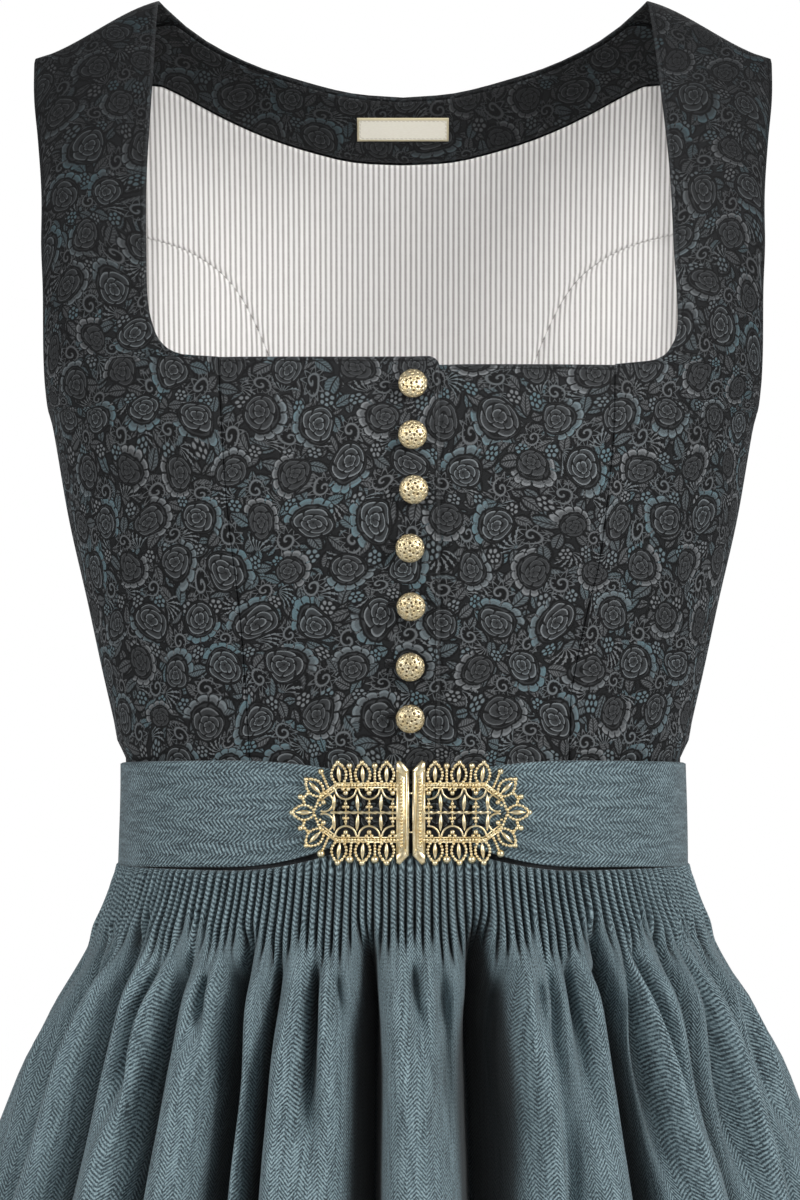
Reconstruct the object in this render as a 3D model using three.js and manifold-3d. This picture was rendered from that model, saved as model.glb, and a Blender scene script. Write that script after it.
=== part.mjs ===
// A dirndl as it is worn: a fitted sleeveless bodice with princess seams and seven ball buttons,
// a gathered skirt down to the calf, and a gathered apron on its own band with a filigree clasp.
// Millimetres, +Z up, the front faces -Y. Heights below are measured from the waist line, and the
// whole garment is then hung so that the origin lies between the shoulder straps.
import * as THREE from "three";
import Module from "manifold-3d";

const wasm = await Module();
wasm.setup();

// Driving sizes
const SHOULDER_HEIGHT = 378; // waist line to the inner end of the shoulder crest
const BUST_HEIGHT = 165; // waist line to the fullest section
const BUST_FRONT = 118; // depth of the front there, from the side seam's plane
const BUST_BACK = 107;
const WAIST_DROP = 30; // the bodice ends this far below the waist line, behind the band
const HEM_DROP = 650; // waist line to the hem of the skirt
const APRON_HEM_DROP = 622;
const CLOTH = 1.6; // wall of the brocade
const LINING = 1.1; // wall of lining, facing and label
const SEAM = 0.3; // space between pieces
const BAND_HEIGHT = 52;
const BAND_WALL = 2.2;
const BAND_INSIDE = CLOTH + 0.5; // from the bodice's inner face to the band's inner face
const BAND_TILT = 0.041; // rise of the band towards the front, per millimetre of depth
const BAND_TOP = -1.4; // at the side seams
const BAND_END = 33; // the band's ends lie this far from the middle, behind the clasp
const BUTTON_WIDTH = 14;
const CLASP_HALF = 58;
const CLASP_HEIGHT = 51;
const CLASP_WALL = 2.4;
const APRON_PLEATS = 92;
const SKIRT_PLEATS = 84; // round the back, where no apron covers them
const APRON_REACH = 93; // degrees from the middle front to the apron's edge
const SHOULDER_INNER = 122; // half the back neck's width, at the crest
const SHOULDER_OUTER = 184; // half the shoulder width

const DEG = Math.PI / 180;

// Finishes
const finish = (color, roughness, metalness = 0) =>
  new THREE.MeshStandardMaterial({ color, roughness, metalness });
const brocade = finish(0x2d3032, 0.7);
const darkCloth = finish(0x1c1e20, 0.85);
const stripedLining = finish(0xd8d2cc, 0.8);
const cream = finish(0xe9e2d0, 0.8);
const herringbone = finish(0x57707a, 0.8);
const gold = finish(0xc9b27a, 0.35, 1);

const dirndl = new THREE.Group();
dirndl.position.z = -SHOULDER_HEIGHT;

// Sections of the bodice's inner face, from the waist up: half width, front and back depth, squareness.
const bodiceSections = [
  { z: -30, width: 137, front: 96, back: 88, square: 2.3 },
  { z: 3, width: 137, front: 96, back: 88, square: 2.3 },
  { z: 8, width: 140.4, front: 97.5, back: 89, square: 2.3 },
  { z: 20, width: 142.8, front: 99.5, back: 90, square: 2.3 },
  { z: 45, width: 148.5, front: 104, back: 93, square: 2.35 },
  { z: 80, width: 156, front: 110, back: 97, square: 2.4 },
  { z: 120, width: 165, front: 116, back: 103, square: 2.5 },
  { z: 165, width: 172.8, front: BUST_FRONT, back: BUST_BACK, square: 2.6 },
  { z: 172, width: 174.6, front: BUST_FRONT, back: BUST_BACK, square: 2.62 },
  { z: 180, width: 177.5, front: BUST_FRONT, back: BUST_BACK, square: 2.65 },
  { z: 190, width: 180.7, front: BUST_FRONT, back: BUST_BACK, square: 2.68 },
  { z: 205, width: 184, front: BUST_FRONT, back: BUST_BACK, square: 2.7 },
  { z: 230, width: 187, front: BUST_FRONT, back: BUST_BACK, square: 2.8 },
  { z: 260, width: 190, front: BUST_FRONT, back: BUST_BACK, square: 2.8 },
  { z: 378, width: 189.5, front: BUST_FRONT, back: BUST_BACK, square: 2.8 },
];

// Sections of the skirt's inner face, from the bodice down.
const skirtSections = [
  { z: -650, width: 345, front: 292, back: 286, square: 2.05 },
  { z: -480, width: 293, front: 240, back: 234, square: 2.05 },
  { z: -330, width: 243, front: 190, back: 184, square: 2.05 },
  { z: -220, width: 204, front: 155, back: 149, square: 2.06 },
  { z: -195, width: 195.5, front: 147, back: 141, square: 2.08 },
  { z: -170, width: 186.5, front: 139, back: 133, square: 2.1 },
  { z: -145, width: 177.2, front: 131, back: 125, square: 2.13 },
  { z: -120, width: 166.8, front: 122, back: 116, square: 2.16 },
  { z: -107, width: 160.6, front: 117, back: 111, square: 2.2 },
  { z: -95, width: 155, front: 112, back: 106, square: 2.22 },
  { z: -82, width: 149, front: 107, back: 101, square: 2.25 },
  { z: -70, width: 143.4, front: 102, back: 95, square: 2.28 },
  { z: -57, width: 139.2, front: 98, back: 90, square: 2.3 },
  { z: -30, width: 137, front: 96, back: 88, square: 2.3 },
];

// The folds of skirt and apron: where each trough lies, in degrees from the middle front towards the
// wearer's left, its half width in degrees, its depth, and the height at which it starts.
const folds = [
  { at: -171, wide: 5, depth: 20, top: -80 },
  { at: -154, wide: 4, depth: 15, top: -95 },
  { at: -137, wide: 5, depth: 21, top: -75 },
  { at: -118, wide: 4.5, depth: 17, top: -90 },
  { at: -101, wide: 4.5, depth: 17, top: -80 },
  { at: -84, wide: 4, depth: 12, top: -95 },
  { at: -69, wide: 4, depth: 14, top: -85 },
  { at: -54, wide: 4.2, depth: 17, top: -75 },
  { at: -39, wide: 3.4, depth: 9, top: -95 },
  { at: -24.5, wide: 4.6, depth: 14, top: -90 },
  { at: -5, wide: 3.6, depth: 24, top: -85 },
  { at: 11.6, wide: 5.4, depth: 31, top: -78 },
  { at: 24, wide: 2.8, depth: 7, top: -100 },
  { at: 36, wide: 4.4, depth: 23, top: -80 },
  { at: 52, wide: 4.6, depth: 19, top: -85 },
  { at: 67, wide: 4.2, depth: 15, top: -80 },
  { at: 83, wide: 4, depth: 12, top: -95 },
  { at: 99, wide: 4.5, depth: 18, top: -85 },
  { at: 116, wide: 4.5, depth: 15, top: -90 },
  { at: 133, wide: 5, depth: 22, top: -75 },
  { at: 151, wide: 4.5, depth: 16, top: -95 },
  { at: 170, wide: 4.6, depth: 19, top: -80 },
];
const FOLD_GROWTH = 110; // a fold reaches its depth this far below its start
const RIDGE_SHARE = 0.25; // how far the cloth beside a trough stands out, of the trough's depth

// Edges on the front, by height: how far each lies from the middle, to the wearer's left.
const seamRight = [
  { z: -30, x: -73 },
  { z: 10, x: -74.5 },
  { z: 67, x: -78 },
  { z: 128, x: -84.6 },
  { z: 196.9, x: -88.8 },
];
const seamLeft = [
  { z: -30, x: 80 },
  { z: 17, x: 80.6 },
  { z: 37, x: 81.4 },
  { z: 79, x: 89.6 },
  { z: 96, x: 93.8 },
  { z: 121, x: 97.2 },
  { z: 162, x: 101 },
  { z: 193.5, x: 101.8 },
];
const neckRight = [
  { z: 196.9, x: -88.8 },
  { z: 198.3, x: -105.7 },
  { z: 203.6, x: -115.8 },
  { z: 212.3, x: -120.6 },
  { z: 225, x: -123.4 },
  { z: 249, x: -124.4 },
  { z: 283, x: -125 },
  { z: 337, x: -123 },
  { z: 378, x: -122 },
];
const neckLeft = [
  { z: 193.5, x: 101.8 },
  { z: 196, x: 121 },
  { z: 203.7, x: 130 },
  { z: 213.4, x: 132.6 },
  { z: 230.6, x: 132.4 },
  { z: 247, x: 131.5 },
  { z: 293, x: 129.8 },
  { z: 336, x: 126 },
  { z: 378, x: 122 },
];
// The armhole's front edge and back edge, as the angle in degrees from the side seam.
const UNDERARM = 172;
const armholeFront = [
  { z: 172, turn: 0 },
  { z: 174, turn: 5 },
  { z: 180, turn: 11 },
  { z: 190, turn: 16 },
  { z: 205, turn: 20 },
  { z: 230, turn: 23.5 },
  { z: 255, turn: 25 },
  { z: 285, turn: 25 },
  { z: 325, turn: 22 },
  { z: 357, turn: 18 },
  { z: 378, turn: 16.3 },
];
const armholeBack = [
  { z: 172, turn: 0 },
  { z: 174, turn: 6 },
  { z: 180, turn: 13 },
  { z: 190, turn: 19 },
  { z: 205, turn: 24 },
  { z: 230, turn: 29 },
  { z: 260, turn: 32 },
  { z: 300, turn: 32 },
  { z: 336, turn: 28 },
  { z: 360, turn: 21 },
  { z: 378, turn: 16.3 },
];
// The curved back seam, the back neckline, and the facing's lower edge.
const backSeam = [
  { z: -30, x: 45 },
  { z: 0, x: 45 },
  { z: 60, x: 49 },
  { z: 120, x: 56 },
  { z: 170, x: 62 },
  { z: 200, x: 67.5 },
  { z: 215, x: 73 },
  { z: 231, x: 80.5 },
  { z: 243, x: 88.5 },
  { z: 252, x: 98 },
  { z: 261, x: 114 },
  { z: 267, x: 135 },
  { z: 270, x: 152 },
  { z: 272, x: 168.6 },
];
const backNeck = [
  { x: 0, z: 336 },
  { x: 26, z: 338 },
  { x: 52, z: 344 },
  { x: 78, z: 352 },
  { x: 103, z: 364 },
  { x: 122, z: 378 },
];
const facingEdge = [
  { x: 0, z: 305.4 },
  { x: 24, z: 306.6 },
  { x: 43, z: 310.6 },
  { x: 69, z: 318.5 },
  { x: 93.5, z: 329 },
  { x: 113, z: 339 },
  { x: 127, z: 345 },
  { x: 146, z: 350 },
];

const clamp = (value) => Math.min(1, Math.max(0, value));
const blend = (value) => clamp(value) ** 2 * (3 - 2 * clamp(value));
const mix = (a, b, share) => a + (b - a) * share;

// Reads one column of a table at a place along its key column, on a smooth curve through the rows.
function along(table, key, place, column) {
  const last = table.length - 1;
  if (place <= table[0][key]) return table[0][column];
  if (place >= table[last][key]) return table[last][column];
  let row = 0;
  while (table[row + 1][key] < place) row += 1;
  const slope = (i) => {
    const a = table[Math.max(0, i - 1)];
    const b = table[Math.min(last, i + 1)];
    return (b[column] - a[column]) / (b[key] - a[key]);
  };
  const [from, to] = [table[row], table[row + 1]];
  const span = to[key] - from[key];
  const t = (place - from[key]) / span;
  const h = 3 * t * t - 2 * t * t * t;
  return (
    mix(from[column], to[column], h) +
    span * (t * (1 - t) ** 2 * slope(row) - t * t * (1 - t) * slope(row + 1))
  );
}

// The share of the bust's depth that is left at a height between bust and shoulder crest.
const CREST_ROUND = 0.62;
const CREST_DEPTH = 0.2;
function crestShare(z, fall) {
  if (z <= BUST_HEIGHT) return 1;
  const up = clamp((z - BUST_HEIGHT) / (SHOULDER_HEIGHT - BUST_HEIGHT));
  return (1 - up ** fall) ** CREST_ROUND;
}

// The shoulder crest falls from the neck to the arm.
const CREST_FALL = 29;
const CREST_FALL_FROM = 250;
function crestDrop(x, z) {
  const out = clamp((Math.abs(x) - SHOULDER_INNER) / (SHOULDER_OUTER - SHOULDER_INNER));
  const up = blend((z - CREST_FALL_FROM) / (SHOULDER_HEIGHT - CREST_FALL_FROM));
  return (CREST_FALL * (out + blend(out)) * up) / 2;
}

// Soft fullness over each side of the bust.
const FULLNESS = { depth: 6, x: 78, wide: 46, z: 148, high: 55 };
function fullness(x, z) {
  const across = (Math.abs(x) - FULLNESS.x) / FULLNESS.wide;
  const up = (z - FULLNESS.z) / FULLNESS.high;
  return FULLNESS.depth * Math.exp(-(across ** 2) - up ** 2);
}

// One point of a section: theta is 0 at the wearer's left side and -90 degrees at the middle front.
function sectionPoint(section, theta) {
  const power = 2 / section.square;
  const [c, s] = [Math.cos(theta), Math.sin(theta)];
  const depth = s < 0 ? section.front : section.back;
  return new THREE.Vector3(
    section.width * Math.sign(c) * Math.abs(c) ** power,
    depth * Math.sign(s) * Math.abs(s) ** power,
    0,
  );
}

const FRONT_FALL = 1.39;
const BACK_FALL = 2.6;
function bodiceSection(z) {
  const read = (column) => along(bodiceSections, "z", z, column);
  return {
    width: read("width"),
    front: Math.max(read("front") * crestShare(z, FRONT_FALL), CREST_DEPTH),
    back: Math.max(read("back") * crestShare(z, BACK_FALL), CREST_DEPTH),
    square: read("square"),
  };
}

function bodiceFace(theta, z) {
  const point = sectionPoint(bodiceSection(z), theta);
  if (point.y < 0) point.y -= fullness(point.x, z) * Math.sqrt(Math.abs(Math.sin(theta)));
  point.z = z - crestDrop(point.x, z);
  return point;
}

// A point of the bodice moved out from its inner face by some distance.
const STEP = 1e-3;
function bodicePoint(theta, z, out) {
  const point = bodiceFace(theta, z);
  const normal = new THREE.Vector3();
  if (z > SHOULDER_HEIGHT - STEP) {
    const slope = crestDrop(point.x + 1, z) - crestDrop(point.x - 1, z);
    normal.set(slope / 2, 0, 1);
  } else {
    const round = bodiceFace(theta + STEP, z).sub(bodiceFace(theta - STEP, z));
    const up = bodiceFace(theta, Math.min(z + STEP, SHOULDER_HEIGHT)).sub(bodiceFace(theta, z - STEP));
    normal.crossVectors(round, up);
  }
  return point.addScaledVector(normal.normalize(), out);
}

// The angle of a section at which its front (side -1) or back (side +1) is x from the middle.
function angleAt(x, z, side) {
  const { width, square } = bodiceSection(z);
  const share = Math.sign(x) * Math.min(1, (Math.abs(x) / width) ** (square / 2));
  return side * Math.acos(share);
}

// Collects the rows of a wall and joins them. A row is a list of corners, each with its place along it.
class Wall {
  constructor() {
    this.points = [];
    this.faces = [];
  }
  row(corners) {
    return corners.map(({ at, point }) => ({ at, index: this.points.push(point) - 1 }));
  }
  // Joins two rows with triangles, always closing the shorter step first. The inner face is cut into
  // triangles the same way as the outer one and then turned over, so that stacked walls stay parallel.
  join(a, b, turned = false) {
    const first = this.faces.length;
    let [i, j] = [0, 0];
    while (i < a.length - 1 || j < b.length - 1) {
      const nextA = i < a.length - 1 ? a[i + 1].at : Infinity;
      const nextB = j < b.length - 1 ? b[j + 1].at : Infinity;
      if (nextA <= nextB) {
        this.faces.push([a[i].index, b[j].index, a[i + 1].index]);
        i += 1;
      } else {
        this.faces.push([a[i].index, b[j].index, b[j + 1].index]);
        j += 1;
      }
    }
    if (turned) this.faces.slice(first).forEach((face) => face.reverse());
  }
  // Closes a wall from its outer and inner rows, each listed from the top down.
  close(outer, inner, ring) {
    for (let i = 0; i < outer.length - 1; i += 1) this.join(outer[i], outer[i + 1]);
    for (let i = 0; i < inner.length - 1; i += 1) this.join(inner[i], inner[i + 1], true);
    this.join(inner[0], outer[0]);
    this.join(outer[outer.length - 1], inner[inner.length - 1]);
    if (ring) return;
    const edge = (rows, pick) =>
      rows.map((row, i) => ({ at: i / (rows.length - 1), index: pick(row).index }));
    this.join(edge(outer, (row) => row[0]), edge(inner, (row) => row[0]));
    this.join(edge(inner, (row) => row[row.length - 1]), edge(outer, (row) => row[row.length - 1]));
  }
  geometry() {
    const geometry = new THREE.BufferGeometry();
    const volume = this.faces.reduce((sum, [a, b, c]) => {
      const cross = new THREE.Vector3().crossVectors(this.points[b], this.points[c]);
      return sum + this.points[a].dot(cross);
    }, 0);
    const faces = volume < 0 ? this.faces.map(([a, b, c]) => [a, c, b]) : this.faces;
    geometry.setFromPoints(this.points);
    geometry.setIndex(faces.flat());
    geometry.computeVertexNormals();
    return geometry;
  }
}

function add(name, geometry, material, parent = dirndl) {
  const mesh = new THREE.Mesh(geometry, material);
  mesh.name = name;
  parent.add(mesh);
  return mesh;
}

// A bodice panel: a grid of places on the inner face, listed from the top down, and its two offsets.
function panel(name, material, grid, inner, outer) {
  const wall = new Wall();
  const lay = (offset) =>
    grid.map((places) =>
      wall.row(
        places.map(({ theta, z }, j) => ({
          at: j / (places.length - 1),
          point: bodicePoint(theta, z, typeof offset === "number" ? offset : offset(theta, z)),
        })),
      ),
    );
  wall.close(lay(outer), lay(inner), false);
  return add(name, wall.geometry(), material);
}

// Rows of places between two angles, which are given as functions of the height.
function gridBetween(heights, columns, fromAngle, toAngle) {
  return [...heights]
    .sort((a, b) => b - a)
    .map((z) =>
      Array.from({ length: columns + 1 }, (_, j) => ({
        z,
        theta: mix(fromAngle(z), toAngle(z), j / columns),
      })),
    );
}

const LOWER_HEIGHTS = [-30, 3, 8, 20, 50, 85, 120, 150];

// Front centre panels: the wearer's right laps over the left and carries the buttons' edge.
const LAP_EDGE = 17.8;
const LAP_TOP = 196.9;
const LAP_LIFT = 1.1;
const lapCorner = [
  { z: -30, x: LAP_EDGE },
  { z: 190.5, x: LAP_EDGE },
  { z: 193.5, x: 17.2 },
  { z: 195.8, x: 15.4 },
  { z: 196.9, x: 12.8 },
];
const lapLift = (x) => LAP_LIFT * blend((x - 1) / 15);
const frontX = (theta, z) => bodiceFace(theta, z).x;
panel(
  "front_overlap",
  brocade,
  gridBetween(
    [...LOWER_HEIGHTS, 175, 190.5, 193.5, 195.8, LAP_TOP],
    9,
    (z) => angleAt(along(seamRight, "z", z, "x") + SEAM / 2, z, -1),
    (z) => angleAt(along(lapCorner, "z", z, "x"), z, -1),
  ),
  (theta, z) => lapLift(frontX(theta, z)),
  (theta, z) => CLOTH + lapLift(frontX(theta, z)),
);

const UNDERLAP_EDGE = 6;
const UNDERLAP_TOP = 193.2;
const underSink = (x) => lapLift(Math.min(x, LAP_EDGE)) - SEAM - CLOTH - 0.15;
const underlapOffset = (x) => mix(underSink(x), 0, blend((x - LAP_EDGE - 1) / 12));
panel(
  "front_underlap",
  brocade,
  gridBetween(
    [...LOWER_HEIGHTS, 175, UNDERLAP_TOP],
    10,
    (z) => angleAt(UNDERLAP_EDGE, z, -1),
    (z) => angleAt(along(seamLeft, "z", z, "x") - SEAM / 2, z, -1),
  ),
  (theta, z) => underlapOffset(frontX(theta, z)),
  (theta, z) => CLOTH + underlapOffset(frontX(theta, z)),
);

// Side fronts, each with its shoulder strap up to the crest.
const STRAP_HEIGHTS = [UNDERARM, 174, 179, 187, 310, 354, 365, 372, 376.5, SHOULDER_HEIGHT];
const SIDE_SEAM = 0.0005; // radians from the side's plane
const armholeAngle = (table, z, side) => side * (along(table, "z", z, "turn") * DEG + SIDE_SEAM);
function sideFront(name, seam, neck, side) {
  const top = seam[seam.length - 1].z;
  const innerX = (z) => (z <= top ? along(seam, "z", z, "x") : along(neck, "z", z, "x"));
  const away = (z) => (z < top ? (side * SEAM) / 2 : 0);
  const heights = new Set([...LOWER_HEIGHTS, ...STRAP_HEIGHTS, ...neck.map((row) => row.z)]);
  const mirrored = (theta) => (side > 0 ? theta : -Math.PI - theta);
  const sideEdge = (z) => mirrored(armholeAngle(armholeFront, z, -1));
  panel(
    name,
    brocade,
    gridBetween(heights, 6, (z) => angleAt(innerX(z) + away(z), z, -1), sideEdge),
    0,
    CLOTH,
  );
}
sideFront("side_front_right", seamRight, neckRight, -1);
sideFront("side_front_left", seamLeft, neckLeft, 1);

// Backs. The centre back is one piece with both back shoulders, the side backs lie beside it.
const NECK_SHARE = SHOULDER_INNER / SHOULDER_OUTER;
const SEAM_TOP = 272;
const backSeamHeights = [-30, 3, 20, 60, 120, UNDERARM, 175, 182, 194, 215, 233, 248, 261, 267, 270];
const backLowerHeights = [...backSeamHeights, SEAM_TOP];
const backRises = [0.2, 0.38, 0.54, 0.68, 0.8, 0.89, 0.95, 0.99, 1];
const backColumns = [-1, -0.88, -0.77, -NECK_SHARE, -0.46, -0.23, 0, 0.23, 0.46, NECK_SHARE, 0.77, 0.88, 1];
function centreBackGrid(topOf, edgeGap, rises) {
  const rows = [];
  for (const z of backLowerHeights) {
    const half = along(backSeam, "z", z, "x") - edgeGap;
    rows.push(backColumns.map((share) => ({ z, theta: angleAt(share * half, z, 1) })));
  }
  const halfAt = (z) => bodiceFace(armholeAngle(armholeBack, z, 1), z).x - edgeGap;
  const topAt = (share) => {
    let top = SHOULDER_HEIGHT;
    for (let i = 0; i < 4; i += 1) top = topOf(Math.abs(share) * halfAt(top));
    return top;
  };
  for (const rise of rises) {
    rows.push(
      backColumns.map((share) => {
        const z = mix(SEAM_TOP, topAt(share), rise);
        return { z, theta: angleAt(share * halfAt(z), z, 1) };
      }),
    );
  }
  return rows.reverse();
}
const backTop = (x) => (x < SHOULDER_INNER - STEP ? along(backNeck, "x", x, "z") : SHOULDER_HEIGHT);
panel("back_centre", brocade, centreBackGrid(backTop, SEAM / 2, backRises), 0, CLOTH);

// Where the curved seam runs level towards the armhole, the same space is wider across.
const backSeamGap = (z) => SEAM + 1.6 * blend((z - 235) / 26);
function sideBack(name, material, side, inner, outer) {
  const mirrored = (theta) => (side > 0 ? theta : Math.PI - theta);
  panel(
    name,
    material,
    gridBetween(
      backSeamHeights,
      4,
      (z) => mirrored(armholeAngle(armholeBack, z, 1)),
      (z) => mirrored(angleAt(along(backSeam, "z", z, "x") + backSeamGap(z), z, 1)),
    ),
    inner,
    outer,
  );
}
sideBack("side_back_right", brocade, -1, 0, CLOTH);
sideBack("side_back_left", brocade, 1, 0, CLOTH);

// Inside the back: striped lining up to the facing, the facing along the neck, and a bare label.
const LINING_OUT = -0.8;
const LINING_IN = LINING_OUT - LINING;
const facingLow = (x) => along(facingEdge, "x", x, "z");
panel(
  "lining_centre",
  stripedLining,
  centreBackGrid((x) => facingLow(x) - 1.6, SEAM / 2, [0.25, 0.5, 0.75, 1]),
  LINING_IN,
  LINING_OUT,
);
sideBack("lining_side_right", stripedLining, -1, LINING_IN, LINING_OUT);
sideBack("lining_side_left", stripedLining, 1, LINING_IN, LINING_OUT);

const FACING_HALF = 146;
const FACING_OUT = -2;
const facingColumns = [-1, -0.84, -0.68, -0.5, -0.34, -0.17, 0];
const facingShares = [...facingColumns, ...facingColumns.slice(0, -1).map((share) => -share).reverse()];
const facingTopOf = (x) => Math.min(backTop(x) - 1.5, 371);
panel(
  "neck_facing",
  brocade,
  [1, 0.9, 0.75, 0.55, 0.3, 0].map((rise) =>
    facingShares.map((share) => {
      const x = share * FACING_HALF;
      const z = mix(facingLow(Math.abs(x)), facingTopOf(Math.abs(x)), rise);
      return { z, theta: angleAt(x, z, 1) };
    }),
  ),
  FACING_OUT - LINING,
  FACING_OUT,
);

const LABEL = { half: 23.5, low: 316.8, high: 328.6 };
panel(
  "blank_label",
  cream,
  gridBetween(
    [LABEL.low, LABEL.high],
    6,
    (z) => angleAt(LABEL.half, z, 1),
    (z) => angleAt(-LABEL.half, z, 1),
  ),
  FACING_OUT - LINING - SEAM - 1,
  FACING_OUT - LINING - SEAM,
);

// Seven ball buttons on their shanks.
const buttons = [
  { z: 182.5, x: 4.8 },
  { z: 159.5, x: 4.8 },
  { z: 133.4, x: 5.3 },
  { z: 106, x: 3.4 },
  { z: 78, x: 3.8 },
  { z: 49, x: 3.4 },
  { z: 24, x: 3.4 },
];
const SHANK = { radius: 2.2, long: 1.6 };
const buttonProfile = [
  { r: 0, out: 0 },
  { r: SHANK.radius, out: 0 },
  { r: SHANK.radius, out: SHANK.long },
  { r: 5.6, out: SHANK.long + 0.6 },
  { r: BUTTON_WIDTH / 2, out: SHANK.long + 2.6 },
  { r: 6.5, out: SHANK.long + 4.6 },
  { r: 4.3, out: SHANK.long + 6.7 },
  { r: 0, out: SHANK.long + 7.8 },
];
buttons.forEach(({ x, z }, i) => {
  const profile = buttonProfile.map(({ r, out }) => new THREE.Vector2(r, out));
  const geometry = new THREE.LatheGeometry(profile, 10);
  const theta = angleAt(x, z, -1);
  const seat = bodicePoint(theta, z, CLOTH + lapLift(x) + SEAM);
  const outward = bodicePoint(theta, z, CLOTH + 1).sub(bodicePoint(theta, z, CLOTH));
  const button = add(`button_${i + 1}`, geometry, gold);
  button.position.copy(seat);
  button.quaternion.setFromUnitVectors(new THREE.Vector3(0, 1, 0), outward.normalize());
});

// The band, the skirt and the apron are rings: an angle from the middle front, a height and an offset.
function ringPoint(phi, z, out, sink = 0) {
  const read = (column) => along(skirtSections, "z", z, column);
  const section = {
    width: read("width"),
    front: read("front"),
    back: read("back"),
    square: read("square"),
  };
  const theta = (phi - 90) * DEG;
  const point = sectionPoint(section, theta);
  const round = sectionPoint(section, theta + STEP).sub(sectionPoint(section, theta - STEP));
  const outward = new THREE.Vector3(round.y, -round.x, 0).normalize();
  point.addScaledVector(outward, out - sink);
  point.z = z;
  return point;
}

// How far the folds draw the cloth in, at an angle and a height.
function foldSink(phi, z) {
  return folds.reduce((sum, { at, wide, depth, top }) => {
    const grown = blend((top - z) / FOLD_GROWTH) * (1 + (0.35 * (top - z)) / HEM_DROP);
    const turn = ((((phi - at) % 360) + 540) % 360) - 180;
    const away = Math.abs(turn) / wide;
    const trough = Math.exp(-(away ** 2));
    const ridge = RIDGE_SHARE * Math.exp(-((away - 2.3) ** 2));
    return sum + depth * grown * (trough - ridge);
  }, 0);
}

// Angles that every fold needs, with fillers, between two ends.
const FOLD_CORNERS = [-2.1, -1, 0, 1, 2.1];
const WIDEST_STEP = 8;
const NARROWEST_STEP = 2;
function foldAngles(from, to) {
  const wanted = folds
    .flatMap(({ at, wide }) => FOLD_CORNERS.map((corner) => at + corner * wide))
    .flatMap((angle) => [angle - 360, angle, angle + 360])
    .filter((angle) => angle > from + NARROWEST_STEP && angle < to - NARROWEST_STEP)
    .sort((a, b) => a - b);
  const angles = [from];
  for (const angle of [...wanted, to]) {
    const last = angles[angles.length - 1];
    if (angle !== to && angle - last < NARROWEST_STEP) continue;
    const steps = Math.ceil((angle - last) / WIDEST_STEP);
    for (let i = 1; i <= steps; i += 1) angles.push(mix(last, angle, i / steps));
  }
  return angles;
}

// Corners of a row of gathers: a valley and a ridge, again and again.
function pleatCorners(from, to, count) {
  const pitch = (to - from) / count;
  const corners = [];
  for (let i = 0; i < count; i += 1) {
    const left = from + i * pitch;
    corners.push({ phi: left, high: 0 }, { phi: left + pitch / 2, high: 1 });
  }
  corners.push({ phi: to, high: 0 });
  return corners;
}

// The gathers' top rises towards the front as the band does, and further down the rows are level.
const TILT_FROM = -53;
const TILT_ENDS = -110;
function tilt(phi, z) {
  const share = 1 - blend((TILT_FROM - z) / (TILT_FROM - TILT_ENDS));
  return -BAND_TILT * ringPoint(phi, z, 0).y * share;
}

// A gathered wall: fine pleated rows at the top, then rows that carry only the folds.
function gathered(name, material, shape) {
  const { ring, inner, plainOuter, pleatHigh, angles, corners, gatherRows, foldRows } = shape;
  const wall = new Wall();
  const place = (phi, z, out) => {
    const point = ringPoint(phi, z, out, foldSink(phi, z));
    if (z <= -BAND_HEIGHT) point.z += tilt(phi, z);
    return point;
  };
  const rowOf = (list) => {
    const row = wall.row(ring ? list.slice(0, -1) : list);
    if (ring) row.push({ at: list[list.length - 1].at, index: row[0].index });
    return row;
  };
  const plainRow = (z, out) => rowOf(angles.map((phi) => ({ at: phi, point: place(phi, z, out) })));
  const fineRow = ({ z, high }) =>
    rowOf(
      corners.map((corner) => {
        const out = plainOuter + corner.high * high * pleatHigh;
        return { at: corner.phi, point: place(corner.phi, z, out) };
      }),
    );
  const outer = [
    ...(shape.hiddenRows ?? []).map((z) => plainRow(z, plainOuter)),
    ...gatherRows.map(fineRow),
    ...foldRows.map((z) => plainRow(z, plainOuter + shape.rest)),
  ];
  const innerHeights = [...(shape.hiddenRows ?? []), ...gatherRows.map((row) => row.z), ...foldRows];
  wall.close(outer, innerHeights.map((z) => plainRow(z, inner)), ring);
  return add(name, wall.geometry(), material);
}

// The dress skirt: plain behind the band and the apron, gathered round the back.
const SKIRT_GATHER_FROM = 96;
const foldRows = [-130, -165, -220, -340];
const apronAngles = foldAngles(-APRON_REACH, APRON_REACH);
const skirtAngles = [
  ...foldAngles(-180, -APRON_REACH).slice(0, -1),
  ...apronAngles,
  ...foldAngles(APRON_REACH, 180).slice(1),
];
const backPleats = (from, to) => pleatCorners(from, to, SKIRT_PLEATS / 2);
gathered("dress_skirt", darkCloth, {
  angles: skirtAngles,
  ring: true,
  inner: -0.4,
  plainOuter: 0.9,
  pleatHigh: 2.4,
  rest: 0.4,
  corners: [
    ...backPleats(-180, -SKIRT_GATHER_FROM),
    ...apronAngles.map((phi) => ({ phi, high: 0 })),
    ...backPleats(SKIRT_GATHER_FROM, 180),
  ],
  hiddenRows: [-WAIST_DROP - SEAM, -53.5],
  gatherRows: [
    { z: -57, high: 1 },
    { z: -80, high: 1 },
    { z: -104, high: 0.35 },
  ],
  foldRows: [...foldRows, -HEM_DROP],
});

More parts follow.
